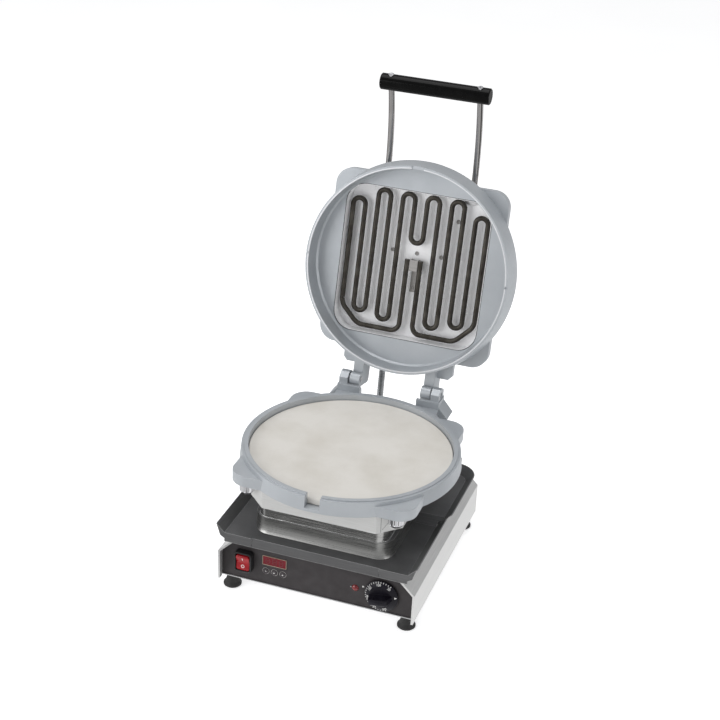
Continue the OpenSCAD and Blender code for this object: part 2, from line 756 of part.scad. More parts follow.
module heater() {
    both_sides() half_heater();
    u_bend(0, middle_bend, 1);
}

module lower_heater() {
    color([0.25, 0.22, 0.2]) in_place() translate([0, 0, z_lower_heater]) heater();
}

// two plain rails that carry the legs
module lower_heater_supports() {
    rail_w = 8;
    top = z_lower_heater - tube_d / 2;
    color("silver") in_place() for (y = [-outer_front_bend * 0.8, outer_front_bend * 0.7])
        translate([-leg_pitch * 5.5 - 4, y - rail_w / 2, z_lower_reflector + reflector_t])
            cube([leg_pitch * 11 + 8, rail_w, top - z_lower_reflector - reflector_t]);
}

// ---- lower casting ----

// section of a hinge lug, y and z from the hinge axis: a block with sloping shoulders around the pin
module lug_section() {
    difference() {
        polygon([[-lug_half, z_ears - hinge_z], [-lug_half, lug_shoulder], [-4, lug_top], [4, lug_top],
            [lug_half, lug_shoulder], [lug_half, z_ears - hinge_z]]);
        circle(pin_d / 2);
    }
}

// One hinge's foot on the ring: a bridge out of the ring, a block whose wall rises ahead of the arm's
// knuckle, a flared outer side, and the lug that holds the pin.
module hinge_base() {
    inner = arm_inner_x - 4;
    outer = lug_end + 1.5;
    front = hinge_y - lug_half - 3.5;
    block_top = hinge_z - 6;
    flare_top = hinge_z - 13;
    flare = flare_top - z_ears;
    difference() {
        union() {
            translate([inner, ring_r * 0.84, z_ears])
                cube([outer - inner, hinge_y - 6 - ring_r * 0.84, z_rim - 10 - z_ears]);
            translate([inner, front, z_ears]) cube([outer - inner, hinge_y - 6 - front, block_top - z_ears]);
            along_y(front, hinge_y + lug_half) polygon([[lug_x, z_ears], [outer + flare * 0.85, z_ears],
                [outer, flare_top], [outer, block_top], [lug_x, block_top]]);
            translate([0, hinge_y, hinge_z]) along_x(lug_x, lug_end) lug_section();
        }
        // room for the knuckle and its heel, and the pin's bore through the block
        translate([inner - eps, hinge_y, hinge_z]) round_x(heel_r + 0.6, lug_x - inner + eps);
        translate([lug_x - eps, hinge_y, hinge_z]) round_x(pin_d / 2, outer - lug_x + 20);
    }
}

module lower_casting() {
    color([0.66, 0.68, 0.7]) in_place() difference() {
        union() {
            translate([0, 0, z_ears]) linear_extrude(ear_h) rounded_square(ear_half, ear_half, ear_r);
            rotate_extrude($fn = 180) polygon([[0, z_ears], [foot_of_ring_r, z_ears],
                [ring_r, z_rim - rim_step_h], [ring_r - rim_step_w, z_rim - rim_step_h],
                [ring_r - rim_step_w, z_rim], [0, z_rim]]);
            both_sides() hinge_base();
        }
        translate([0, 0, z_shelf]) cylinder(r = well_r, h = 60, $fn = 180);
        translate([0, 0, z_ears - eps]) linear_extrude(shelf_t + 2 * eps)
            rounded_square(lower_opening, lower_opening, pocket_r);
        translate([-notch_w / 2, -foot_of_ring_r - 5, z_shelf]) cube([notch_w, rim_w + ring_draft + 8, 60]);
        at_corners(nut_x, nut_y) translate([0, 0, z_ears - eps]) cylinder(d = nut_bolt_d + 0.2, h = ear_h * 0.7);
    }
}

// domed nut with grip grooves, standing on z = 0, with its bolt going down
module domed_nut(bolt_l) {
    dome = nut_h * 0.4;
    side_h = nut_h - dome;
    difference() {
        union() {
            cylinder(d = nut_d, h = side_h);
            translate([0, 0, side_h]) scale(1) rotate_extrude() intersection() {
                translate([0, dome - dome_r()]) circle(dome_r());
                square([nut_d / 2, dome]);
            }
        }
        for (i = [0 : nut_grooves - 1]) rotate([0, 0, i * 360 / nut_grooves])
            translate([nut_d / 2 + 0.9, 0, -eps]) cylinder(d = 3.4, h = side_h + 2 * eps, $fn = 24);
    }
    translate([0, 0, -bolt_l]) cylinder(d = nut_bolt_d, h = bolt_l + eps);
}

// radius of the sphere through the dome's rim and top
function dome_r() = let (d = nut_h * 0.4, r = nut_d / 2) (r * r + d * d) / (2 * d);

module lower_nuts() {
    color([0.85, 0.85, 0.88]) in_place() at_corners(nut_x, nut_y) translate([0, 0, z_ears])
        rotate([180, 0, 0]) domed_nut(ear_h * 0.6);
}

// the pins end behind the lugs' outer faces
module hinge_pins() {
    recess = 2.5;
    color("silver") in_place() both_sides() translate([arm_inner_x - 1.5, hinge_y, hinge_z])
        round_x(pin_d / 2, lug_end - recess - arm_inner_x + 1.5);
}

module baking_stone() {
    edge = 1.2;
    color([0.93, 0.92, 0.88]) in_place() rotate_extrude($fn = 180) polygon([[0, z_shelf + seat],
        [stone_r - edge, z_shelf + seat], [stone_r, z_shelf + seat + edge], [stone_r, z_stone - edge],
        [stone_r - edge, z_stone], [0, z_stone]]);
}

// ---- controls ----

module switch_collar() {
    w = rocker_w + 2 * (collar_wall + rocker_gap);
    h = rocker_h + 2 * (collar_wall + rocker_gap);
    body_l = 20;
    color([0.06, 0.06, 0.06]) in_place() translate([-switch_x, panel_y, z_switch]) difference() {
        rotate([-90, 0, 0]) {
            translate([0, 0, -collar_out]) linear_extrude(collar_out) difference() {
                square([w, h], center = true);
                square([w - 2 * collar_wall, h - 2 * collar_wall], center = true);
            }
            translate([-rocker_w / 2, -rocker_h / 2, -eps]) difference() {
                cube([rocker_w, rocker_h, panel_t + body_l]);
                translate([-eps, 1.5, -eps]) cube([rocker_w + 2 * eps, rocker_h - 3, panel_t + 8]);
            }
            for (s = [-1, 1]) translate([0, s * (rocker_h / 2 - 0.5), 0])
                cube([rocker_w, 1.6, 1], center = true);
        }
        translate([-w, -rocker_pivot, 0]) round_x(pivot_d / 2 + pin_play, 2 * w);
    }
}

// The rocker tilts on two stubs. Its two front faces meet in a shallow V, and its upper end is out.
module rocker() {
    end_h = rocker_h / 2 - 1;
    stub_l = rocker_w / 2 + rocker_gap + collar_wall * 0.8;
    color([0.75, 0.05, 0.05]) in_place() translate([-switch_x, panel_y - rocker_pivot, z_switch])
        rotate([rocker_tilt, 0, 0]) {
            along_x(-rocker_w / 2, rocker_w / 2) polygon([[-6.4, end_h], [-3.4, 0], [-6.4, -end_h],
                [-2, -end_h - 0.2], [3, -end_h + 4], [7.5, -3], [7.5, 3], [3, end_h - 4], [-2, end_h + 0.2]]);
            translate([-stub_l, 0, 0]) round_x(pivot_d / 2, 2 * stub_l);
        }
}

module display_frame() {
    color([0.75, 0.75, 0.75]) in_place() translate([-display_x, panel_y, z_display]) rotate([90, 0, 0])
        linear_extrude(1.2) difference() {
            square([display_w + 2 * display_frame_w, display_h + 2 * display_frame_w], center = true);
            square([display_w, display_h], center = true);
        }
}

module display_window() {
    color([0.5, 0.02, 0.05]) in_place() translate([-display_x, panel_y, z_display]) rotate([90, 0, 0]) {
        linear_extrude(0.8) square([display_w, display_h], center = true);
        translate([0, 0, -panel_t]) linear_extrude(panel_t + eps) square([display_w - 4.4, display_h - 4.4], center = true);
    }
}

// a round key: cap with a slightly domed face, and a stem that reaches the board
module key(i) {
    travel_room = key_travel + 0.4;
    stem_end = board_y - panel_y - travel_room;
    color([0.2, 0.2, 0.2]) in_place() translate([-display_x + i * key_pitch, panel_y, z_keys]) {
        translate([0, -key_out + 0.5, 0]) round_y(key_d / 2, key_out + panel_t - 0.5);
        translate([0, -key_out, 0]) rotate([-90, 0, 0]) cylinder(r1 = key_d / 2 - 0.6, r2 = key_d / 2, h = 0.5 + eps);
        translate([0, panel_t - eps, 0]) round_y(1.5, stem_end - panel_t);
    }
}

module timer_key() { key(-1); }
module minus_key() { key(0); }
module plus_key() { key(1); }

module timer_board() {
    board_h = 42;
    color([0.1, 0.35, 0.15]) in_place() translate([-display_x, board_y, z_casing + sheet + 8]) {
        translate([-26, 0, 0]) cube([52, 1.6, board_h]);
        for (i = [-1 : 1]) translate([i * key_pitch, -0.3, z_keys - z_casing - sheet - 8]) round_y(3, 0.3 + eps);
        translate([-display_w / 2 + 3, -6 + panel_t / 2, z_display - z_casing - sheet - 8 - 7])
            cube([display_w - 6, 6 - panel_t / 2, 14]);
        translate([-14, 1.6, 6]) cube([28, 14, 20]);
    }
}

module indicator_lamp() {
    r = lamp_d / 2;
    color([0.7, 0.05, 0.05]) in_place() translate([lamp_x, panel_y, z_lamp]) rotate([90, 0, 0]) {
        rotate_extrude() intersection() {
            translate([0, -r * 0.45]) circle(r * 1.09);
            square([r, r]);
        }
        translate([0, 0, -16]) cylinder(r = r - 1.7, h = 16 + eps);
    }
}

module thermostat() {
    neck_l = 9;
    color([0.7, 0.7, 0.7]) in_place() translate([knob_x, panel_y + panel_t, z_knob]) difference() {
        union() {
            round_y(thermostat_d / 2, thermostat_l);
            translate([-6, thermostat_l - eps, 6]) cube([12, 5, 8]);
        }
        translate([0, -eps, 0]) round_y(shaft_d / 2 + pin_play, neck_l);
    }
}

// the shaft ends in the knob's bore in front and inside the thermostat behind
module thermostat_shaft() {
    front_l = knob_gap + knob_t + 3;
    back_l = panel_t + 8;
    color([0.7, 0.7, 0.7]) in_place() translate([knob_x, panel_y - front_l, z_knob])
        round_y(shaft_d / 2, front_l + back_l);
}

// knob: a dished disc with a tapered grip bar across it
module thermostat_knob() {
    r = knob_d / 2;
    bar_l = knob_d * 0.86;
    bar_angle = 20;
    color([0.1, 0.1, 0.12]) in_place() translate([knob_x, panel_y - knob_gap, z_knob]) rotate([90, 0, 0])
        difference() {
            union() {
                rotate_extrude() polygon([[0, 0], [r - 1, 0], [r, 1], [r, knob_t * 0.45], [r * 0.62, knob_t],
                    [0, knob_t]]);
                rotate([0, 0, -bar_angle]) translate([0, 0, knob_t * 0.4]) intersection() {
                    linear_extrude(knob_grip_out + knob_t * 0.6) rounded_square(bar_l / 2, 6.5, 3);
                    rotate([90, 0, 0]) translate([0, 0, -20]) linear_extrude(40) polygon([[-bar_l / 2, 0],
                        [-bar_l / 2, knob_t * 0.3], [-bar_l / 2 + 6, knob_grip_out + knob_t * 0.6 - 3],
                        [-bar_l / 2 + 10, knob_grip_out + knob_t * 0.6], [bar_l / 2 - 10, knob_grip_out + knob_t * 0.6],
                        [bar_l / 2 - 6, knob_grip_out + knob_t * 0.6 - 3], [bar_l / 2, knob_t * 0.3], [bar_l / 2, 0]]);
                }
            }
            translate([0, 0, -eps]) cylinder(d = shaft_d, h = knob_t + 3 + seat);
        }
}

// probe of the thermostat, clipped on the rail beside the lower heater
module temperature_probe() {
    r = 2.4;
    l = outer_front_bend * 1.36;
    color([0.75, 0.6, 0.4]) in_place()
        translate([leg_pitch, -l / 2 - 4, z_lower_reflector + reflector_t + r]) round_y(r, l);
}

module relay() {
    color([0.15, 0.2, 0.4]) in_place() translate([-20, 60, z_casing + sheet]) {
        cube([30, 40, 34]);
        translate([4, 4, 34]) cube([22, 32, 4]);
    }
}

module terminal_block() {
    way_w = 10;
    color([0.9, 0.9, 0.85]) in_place() translate([inlet_x - 2.5 * way_w, back_y - 62, z_casing + sheet]) difference() {
        cube([5 * way_w, 22, 18]);
        for (i = [0 : 4]) {
            translate([(i + 0.5) * way_w, 11, 8]) cylinder(d = 5, h = 11);
            translate([(i + 0.5) * way_w, -eps, 6]) round_y(2, 30);
        }
    }
}

// ---- cable inlet and conduit ----

inlet_x = 105;          // the mains inlet lies this far to the right of the middle
z_inlet = z_casing + 16;

// gland along +y from y = 0: a thread, a hexagon and a ribbed cap
module gland(bore, l) {
    difference() {
        union() {
            translate([0, -8, 0]) round_y(bore / 2 + 1.4, 8 + eps);
            rotate([-90, 0, 0]) cylinder(d = bore + 10, h = l * 0.4, $fn = 6);
            translate([0, l * 0.4 - eps, 0]) rotate([-90, 0, 0]) cylinder(r1 = bore / 2 + 4, r2 = bore / 2 + 2.4, h = l * 0.6);
        }
        translate([0, -9, 0]) round_y(bore / 2, l + 10);
    }
}

module mains_inlet() {
    color([0.1, 0.1, 0.1]) in_place() translate([inlet_x, back_y, z_inlet]) gland(cable_d, gland_l + 4);
}

module conduit_gland() {
    color("silver") in_place() translate([-conduit_x, back_y, z_conduit]) gland(conduit_d - 3, gland_l);
}

// the conduit leaves the rear gland, turns up, rises behind the hinges and leans into the lid's gland
module power_conduit() {
    color([0.6, 0.62, 0.63]) in_place() translate([-conduit_x, 0, 0]) polyhedron(conduit_points, conduit_faces);
}

// ---- lid ----

// outline of the recess in the lid's back, drawn in by "inset"
module recess_outline(inset) {
    margin = recess_margin + inset;
    cut_square(cover_x - margin, cover_y - margin, corner_cut(cover_x, cover_y));
}

// section of a hinge arm on the shut lid, y and z from the hinge axis
module arm_section() {
    corner = 7;
    root = -60;
    difference() {
        union() {
            circle(knuckle_r);
            polygon([[root, arm_face], [-9, arm_face], [-7.5, 1], [-knuckle_r * 0.7, -knuckle_r * 0.7], [0, -knuckle_r],
                [knuckle_r * 0.6, -knuckle_r * 0.8], [arm_back, -1], [arm_back, arm_h - corner], [root, arm_h - corner]]);
            translate([root, arm_h - corner - eps]) square([arm_back - corner - root, corner + eps]);
            translate([arm_back - corner, arm_h - corner]) intersection() {
                circle(corner);
                translate([-1, -1]) square(corner + 1);
            }
        }
        circle(pin_d / 2 + pin_play);
    }
}

module lid_casting() {
    color([0.72, 0.74, 0.76]) on_open_lid() difference() {
        union() {
            rotate_extrude($fn = 180) polygon([[0, z_lid_rim], [lid_r, z_lid_rim], [lid_back_r, z_lid_back],
                [lid_back_r - 3, z_lid_back + 3], [0, z_lid_back + 3]]);
            translate([0, 0, z_lid_ears]) linear_extrude(lid_ear_h) rounded_square(ear_half, ear_half, ear_r);
            both_sides() {
                translate([0, hinge_y, hinge_z]) along_x(arm_inner_x, arm_inner_x + arm_w) arm_section();
                // stop lug beside the arm
                translate([0, 0, z_lid_back - 12]) linear_extrude(10) polygon([[lug_x - 4, 120], [lug_x + 22, 120],
                    [lug_x + 22, lid_r - 5], [lug_x + 16, lid_r + 1.5], [lug_x - 4, lid_r + 1.5]]);
            }
        }
        rotate_extrude($fn = 180) polygon([[0, z_lid_rim - 30], [lid_in_r, z_lid_rim - 30], [lid_in_r, z_lid_rim],
            [lid_floor_r, z_lid_floor - 3], [lid_floor_r - 3, z_lid_floor], [0, z_lid_floor]]);
        translate([0, -pocket_ahead, z_lid_floor - eps]) linear_extrude(lid_floor_t + lid_ear_h)
            rounded_square(pocket_half, pocket_half, pocket_r);
        translate([0, 0, z_lid_back]) linear_extrude(lid_ear_h) recess_outline(0);
        // notches in the rim: a wide one at the front and a small one at each side
        translate([-10, -lid_r - 1, z_lid_rim - eps]) cube([20, lid_wall + 2, 1.8]);
        for (s = [-1, 1]) translate([s * lid_r - 4, -5, z_lid_rim - eps]) cube([8, 4, 1.8]);
        at_corners(nut_x, nut_y) translate([0, 0, z_lid_top - lid_ear_h * 0.7])
            cylinder(d = nut_bolt_d + 0.2, h = lid_ear_h);
    }
}

module lid_cover() {
    color([0.8, 0.8, 0.8]) on_open_lid() translate([0, 0, z_cover]) mirror([0, 0, 1]) difference() {
        open_pan(cover_x, cover_y, cover_h, sheet);
        translate([-conduit_x, cover_y - sheet - eps, cover_h / 2]) round_y((conduit_d - 3) / 2 + 1.6, sheet + 2 * eps);
    }
}

module lid_insulation() {
    c = corner_cut(cover_x, cover_y);
    margin = 12;
    color([0.85, 0.8, 0.6]) on_open_lid() translate([0, 0, z_reflector + reflector_t])
        linear_extrude(z_cover - sheet - z_reflector - reflector_t) cut_square(cover_x - margin, cover_y - margin, c);
}

// the reflector pan hangs in the pocket by a flange on the casting's back
module lid_reflector() {
    side = 0.2;
    outer = pocket_half - side;
    flange = 2.2;
    color([0.85, 0.85, 0.88]) on_open_lid() translate([0, -pocket_ahead, 0]) difference() {
        union() {
            translate([0, 0, z_lid_floor + 1]) linear_extrude(reflector_depth - 1 + reflector_t)
                rounded_square(outer, outer, pocket_r - side);
            translate([0, 0, z_lid_back + seat]) linear_extrude(reflector_t) intersection() {
                rounded_square(pocket_half + flange, pocket_half + flange, pocket_r + flange);
                translate([0, pocket_ahead]) recess_outline(side);
            }
        }
        translate([0, 0, z_lid_floor + 1 - eps]) linear_extrude(reflector_depth - 1 + eps)
            rounded_square(outer - reflector_t, outer - reflector_t, pocket_r - side - reflector_t);
    }
}

module lid_heater() {
    color([0.25, 0.22, 0.2]) on_open_lid() translate([0, 0, z_lid_heater]) heater();
}

// a hook from the reflector round one bend or run of the heater, "out" pointing away from the heater
module heater_clip(w, out) {
    t = 0.8;
    reach = tube_d + t;
    y = tube_d / 2 * out + (out > 0 ? 0 : -t);
    top = z_reflector - z_lid_heater;
    translate([-w / 2, y, -tube_d / 2 - t]) cube([w, t, top + tube_d / 2 + t]);
    translate([-w / 2, out > 0 ? tube_d / 2 + t - reach : -tube_d / 2 - t, -tube_d / 2 - t]) cube([w, reach, t]);
}

module heater_clips() {
    color([0.8, 0.8, 0.8]) on_open_lid() translate([0, 0, z_lid_heater]) for (s = [-1, 1]) {
        translate([s * leg_pitch * 3, -front_bend - leg_pitch / 2, 0]) heater_clip(8, -1);
        translate([s * leg_pitch * 2.4, back_run, 0]) heater_clip(8, 1);
    }
}

// plate between the heater's ends, with two legs up to the reflector
module terminal_bracket() {
    half_w = terminal_x - tube_d / 2 - 0.3;
    t = 1.5;
    l = 18;
    top = z_reflector - z_lid_heater;
    color([0.7, 0.68, 0.65]) on_open_lid() translate([0, terminal_end, z_lid_heater]) {
        translate([-half_w, 0, -t / 2]) cube([2 * half_w, l, t]);
        for (s = [-1, 1]) translate([s * (half_w - t / 2) - t / 2, 0, 0]) cube([t, l, top]);
    }
}

module reflector_screws() {
    y = -leg_pitch;     // row ahead of the middle, between the legs
    places = [[-2 * leg_pitch, y], [0, y], [2 * leg_pitch, y], [0, 1.8 * leg_pitch],
        [3 * leg_pitch, leg_pitch * 1.15 - front_bend]];
    color("silver") on_open_lid() for (p = places) translate([p[0], p[1], z_reflector]) mirror([0, 0, 1])
        difference() {
            cylinder(d1 = 7, d2 = 5.4, h = 2.2);
            for (a = [0, 90]) rotate([0, 0, a]) translate([-1.8, -0.4, 1.2]) cube([3.6, 0.8, 2]);
        }
}

module lid_nuts() {
    color([0.85, 0.85, 0.88]) on_open_lid() at_corners(nut_x, nut_y) translate([0, 0, z_lid_top])
        domed_nut(lid_ear_h * 0.6);
}

module lid_gland() {
    color("silver") on_open_lid() translate([-conduit_x, cover_y, lid_gland_z]) gland(conduit_d - 3, gland_l);
}

// ---- handle ----

clamp_w = 26;
clamp_l = 12;
function clamp_ys() = [for (s = [-1, 1]) -rod_bend_y + rod_seat / 2 + s * clamp_pitch / 2];

module rod_clamps() {
    h = clamp_lift + rod_d + 3;
    color([0.7, 0.72, 0.74]) on_open_lid() for (s = [-1, 1], y = clamp_ys())
        translate([s * rod_x, y - clamp_l / 2, z_cover]) difference() {
            translate([-clamp_w / 2, 0, 0]) cube([clamp_w, clamp_l, h]);
            for (e = [-1, 1]) translate([e * (clamp_w / 2 - 2.6) - 2.6 - eps, -eps, clamp_lift + rod_d / 2])
                cube([5.2 + 2 * eps, clamp_l + 2 * eps, h]);
            translate([0, -eps, z_rods - z_cover]) round_y(rod_d / 2, clamp_l + 2 * eps);
        }
}

module clamp_screws() {
    color("silver") on_open_lid() for (s = [-1, 1], e = [-1, 1], y = clamp_ys())
        translate([s * rod_x + e * (clamp_w / 2 - 2.55), y, z_cover + clamp_lift + rod_d / 2]) difference() {
            cylinder(d = 5, h = 3.4);
            translate([0, 0, 1.6]) cylinder(d = 2.6, h = 3, $fn = 6);
        }
}

module handle_rods() {
    color([0.8, 0.8, 0.82]) on_open_lid() for (s = [-1, 1]) translate([s * rod_x, -rod_bend_y, z_rods]) {
        translate([0, -entry, 0]) round_y(rod_d / 2 - thinner, rod_seat + entry);
        translate([0, 0, -rod_bend_r]) rotate([0, -90, 0]) rotate([0, 0, -rod_bend]) rotate_extrude(angle = rod_bend, $fn = 360)
            translate([rod_bend_r, 0]) circle(rod_d / 2, $fn = 48);
    }
}

// the grip's own frame: x along the grip, -y along the rods' ends
module at_grip() { translate([0, grip_y, grip_z]) rotate([rod_bend, 0, 0]) children(); }

module handle_grip() {
    r = grip_d / 2;
    edge = 1.2;
    color([0.04, 0.04, 0.04]) on_open_lid() at_grip() difference() {
        rotate([0, 90, 0]) rotate_extrude() polygon([[0, -grip_l / 2], [r - edge, -grip_l / 2], [r, -grip_l / 2 + edge],
            [r, grip_l / 2 - edge], [r - edge, grip_l / 2], [0, grip_l / 2]]);
        for (s = [-1, 1]) translate([s * rod_x, 0, 0]) {
            round_y(rod_d / 2 + 0.35, grip_d);
            translate([0, -grip_d, 0]) round_y(3.1, grip_d + 1);
            translate([0, -r - 3, 0]) round_y(4.6, 4.5);
        }
    }
}

module grip_screws() {
    r = grip_d / 2;
    color([0.85, 0.85, 0.88]) on_open_lid() at_grip() for (s = [-1, 1]) translate([s * rod_x, 0, 0]) {
        translate([0, -r - 1.6, 0]) difference() {
            round_y(4.4, 3.1);
            rotate([90, 0, 0]) translate([0, 0, -1.2]) cylinder(d = 4.6, h = 3, $fn = 6);
        }
        translate([0, -r + 1.5 - eps, 0]) round_y(2.9, r - 1.5);
    }
}

casing();
bottom_plate();
rear_panel();
front_panel();
panel_brackets();
drip_tray();
feet();
foot_screws();
spacer_posts();
post_bolts();
lower_cover();
lower_insulation();
lower_reflector();
lower_heater();
lower_heater_supports();
lower_casting();
lower_nuts();
hinge_pins();
baking_stone();
switch_collar();
rocker();
display_frame();
display_window();
timer_key();
minus_key();
plus_key();
timer_board();
indicator_lamp();
thermostat();
thermostat_shaft();
thermostat_knob();
temperature_probe();
relay();
terminal_block();
mains_inlet();
conduit_gland();
power_conduit();
lid_casting();
lid_cover();
lid_insulation();
lid_reflector();
lid_heater();
heater_clips();
terminal_bracket();
reflector_screws();
lid_nuts();
lid_gland();
rod_clamps();
clamp_screws();
handle_rods();
handle_grip();
grip_screws();
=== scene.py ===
"""Finishes the pizza maker: materials, controls, marks, seams, lid details, conduit, camera and light."""

import json
import math

import bmesh
import bpy
from mathutils import Matrix, Vector
from mathutils.bvhtree import BVHTree


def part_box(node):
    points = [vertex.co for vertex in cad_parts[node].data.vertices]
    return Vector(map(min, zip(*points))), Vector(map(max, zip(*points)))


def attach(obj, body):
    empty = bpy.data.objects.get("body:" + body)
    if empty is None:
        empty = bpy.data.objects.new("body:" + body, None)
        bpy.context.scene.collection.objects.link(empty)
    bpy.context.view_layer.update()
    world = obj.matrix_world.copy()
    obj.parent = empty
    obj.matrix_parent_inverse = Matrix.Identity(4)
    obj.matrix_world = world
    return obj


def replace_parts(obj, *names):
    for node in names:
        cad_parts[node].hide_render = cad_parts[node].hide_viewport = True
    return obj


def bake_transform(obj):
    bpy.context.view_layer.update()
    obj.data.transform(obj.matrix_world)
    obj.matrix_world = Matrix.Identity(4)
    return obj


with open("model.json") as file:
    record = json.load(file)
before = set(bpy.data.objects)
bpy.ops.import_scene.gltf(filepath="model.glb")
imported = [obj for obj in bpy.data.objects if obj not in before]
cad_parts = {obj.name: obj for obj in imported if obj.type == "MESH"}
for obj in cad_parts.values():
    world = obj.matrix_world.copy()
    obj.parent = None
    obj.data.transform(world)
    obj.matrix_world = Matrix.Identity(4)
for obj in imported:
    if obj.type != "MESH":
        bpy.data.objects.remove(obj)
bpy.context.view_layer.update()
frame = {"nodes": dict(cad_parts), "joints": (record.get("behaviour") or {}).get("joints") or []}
MM = 0.001

# The camera, from the right front and a little above
CAMERA_AZIMUTH = 18.22      # degrees to the right of the front
CAMERA_ELEVATION = 27.16    # degrees over the horizon
CAMERA_ROLL = 2.76          # degrees
CAMERA_DISTANCE = 2.44
CAMERA_LENS = 82.76         # on the 36 mm sensor
CAMERA_SHIFT = 0.0035
CAMERA_TARGET = Vector((0.0032, 0, 0.1525))     # from the middle of the stone's top

# The floor glows a little, so that it stays white. Shiny pieces see it as cards of light and dark round
# the object instead: (share of the turn, brightness), the turn starting behind and running to the left.
FLOOR_GLOW = 0.55
FLOOR_HALF = 6.0
FLOOR_CARDS = ((0.0, 0.55), (0.14, 0.75), (0.20, 0.10), (0.30, 0.10), (0.34, 0.95), (0.42, 0.95),
               (0.46, 0.38), (0.58, 0.42), (0.66, 0.62), (0.74, 0.30), (0.80, 0.70), (1.0, 0.60))
# White close to the object, then a ring that is dark in front of it, before the cards begin
FLOOR_NEAR = ((0.0, 0.92), (1.0, 0.92))
FLOOR_RING = ((0.0, 0.10), (0.02, 0.10), (0.05, 0.85), (0.88, 0.85), (0.91, 0.10), (1.0, 0.10))
RING_START = (0.35, 0.385)   # metres from the middle over which one gives way to the next
CARDS_START = (0.51, 0.54)

# The lid's hinge, as the record gives it; the lid is drawn open at rest
HINGE = frame["joints"][0]
LID_OPEN = HINGE["range_deg"][1]

# The power conduit's route: out of the casing, up behind the hinges and into the open lid
CONDUIT_D = 11 * MM
CONDUIT_PITCH = 3.2 * MM     # of its wound strip
CONDUIT_RIB_H = 0.75 * MM
CONDUIT_FOOT_PULL = 46 * MM
CONDUIT_TOP_PULL = 110 * MM
CONDUIT_LID_END = (153 * MM, 281.5 * MM)   # its end in the shut lid: behind the stone's middle, and height

# How far printed marks stand proud of what they are printed on
INK = 0.06 * MM

# The knob's dial
DIAL_STEP = 50              # degrees Celsius between numbers
DIAL_TURN = 47              # degrees of turn between numbers
DIAL_TOP = 300              # degrees Celsius
DIAL_TICKS = 5              # from one number to the next
DIAL_ZERO = 8               # degrees from the knob's right side to its zero
DIAL_POINTER = 168          # and to the pointer on the panel
DIAL_NUMBER_RING = 0.79     # of the knob's radius
DIAL_TICK_RING = 0.93
DIAL_ZERO_RING = 0.88
DIAL_NUMBER_H = 3.6 * MM

# The knob: a disc with a sloping rim, and a narrow grip bar across it
KNOB_DISC_T = 7 * MM
KNOB_EDGE_T = 2.6 * MM      # of the upright edge, before the rim slopes
KNOB_SHOULDER = 0.64        # where the slope ends, of the disc's radius
KNOB_FACE = 0.60            # and the flat face inside it
KNOB_BAR_TURN = math.radians(8)
KNOB_BAR_CORNER = 2.6 * MM
# its half length, half width and distance from the panel, in mm
KNOB_BAR_STEPS = ((18.2, 5.4, 2.8), (18.2, 5.4, 5.5), (14.9, 5.0, 20.0), (13.9, 4.6, 22.0), (12.0, 3.6, 23.0))

# The switch: the collar's frame and its body behind the panel, and the rocker, which is dished
COLLAR_HALF_W, COLLAR_HALF_H, COLLAR_R = 14.3 * MM, 17.3 * MM, 5.5 * MM
COLLAR_WALL, COLLAR_EDGE = 3 * MM, 1.6 * MM
COLLAR_BODY_HALF_W, COLLAR_BODY_HALF_H = 11 * MM, 13.9 * MM
ROCKER_HALF_W, ROCKER_HALF_H, ROCKER_CORNER = 10.9 * MM, 13.6 * MM, 4.2 * MM
ROCKER_EDGE = 1.4 * MM
ROCKER_PIVOT_OUT = 6 * MM   # from the panel
ROCKER_TILT = math.radians(7)
ROCKER_FACE = 3.4 * MM      # from the pivot to the middle of the face
ROCKER_DISH = 3.0 * MM      # how much further out its ends are
ROCKER_DISH_HALF = 13 * MM
ROCKER_CORNER_FALL = 0.9 * MM
ROCKER_MARK_REACH = 6.6 * MM

# The display, with the half sizes of its frame and its window
DISPLAY_RISE = 0.5 * MM     # it lies this much higher than its node
DISPLAY_RIM_HALF_W, DISPLAY_RIM_HALF_H, DISPLAY_RIM_WALL = 19.4 * MM, 8.15 * MM, 0.9 * MM
DISPLAY_PANE_HALF_W, DISPLAY_PANE_HALF_H = 18.48 * MM, 7.23 * MM
DIGIT_PITCH = 10.8 * MM
DIGIT_HALF_W, DIGIT_HALF_H = 2.9 * MM, 4.6 * MM
DIGIT_BAR, DIGIT_GAP = 0.6 * MM, 0.25 * MM     # half a bar's width, and half the gap between two bars

# The neck, and the sheath of the tray's pedestal, by half length, half width and corner
NECK_X, NECK_R = 101.5 * MM, 17 * MM
PEDESTAL_X, PEDESTAL_Y, PEDESTAL_R, PEDESTAL_FOOT = 108 * MM, 126 * MM, 24 * MM, 106.5 * MM

# The lid as it lies shut, round the stone's middle
RIM_Z, RIM_IN = 214.4 * MM, 161.7 * MM
RIM_BAND = (0.5 * MM, 2.3 * MM)     # from the rim's inner edge to the two edges of its machined band
RIM_NOTCHES = ((-1.7, -0.3), (180.3, 181.7), (266.5, 273.5))   # degrees
REFLECTOR_Z = 274 * MM
RIM_POCKET_Z = 249.9 * MM
POCKET_HALF, POCKET_R, POCKET_AHEAD = 120.5 * MM, 32 * MM, 2 * MM
POCKET_FRONT = -119.5 * MM
TAB_SPANS = ((-82, -58), (68, 86))      # where each tab begins and ends to the right of the middle, in mm
TAB_L = 6.5 * MM
TONGUE_HALF_W, TONGUE_NEAR, TONGUE_FAR = 4.5 * MM, 6 * MM, 43 * MM     # it lies behind the middle

# The numbers of the tray's left and right sides and which way they face, and the corners (x, z) in mm of
# the plate that closes a side where the tray's two floors meet
SIDES = ((1, -1), (2, 1))
CHEEK_CORNERS = ((143.0, 106.2), (144.3, 106.2), (152.5, 114.5), (152.5, 116.3), (143.0, 111.2))


def centre(node):
    """The middle of a CAD node's box."""
    low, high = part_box(node)
    return (low + high) / 2


def rectangle(half_w, half_h):
    """The corners of a flat rectangle round the origin."""
    return [(-half_w, -half_h), (half_w, -half_h), (half_w, half_h), (-half_w, half_h)]


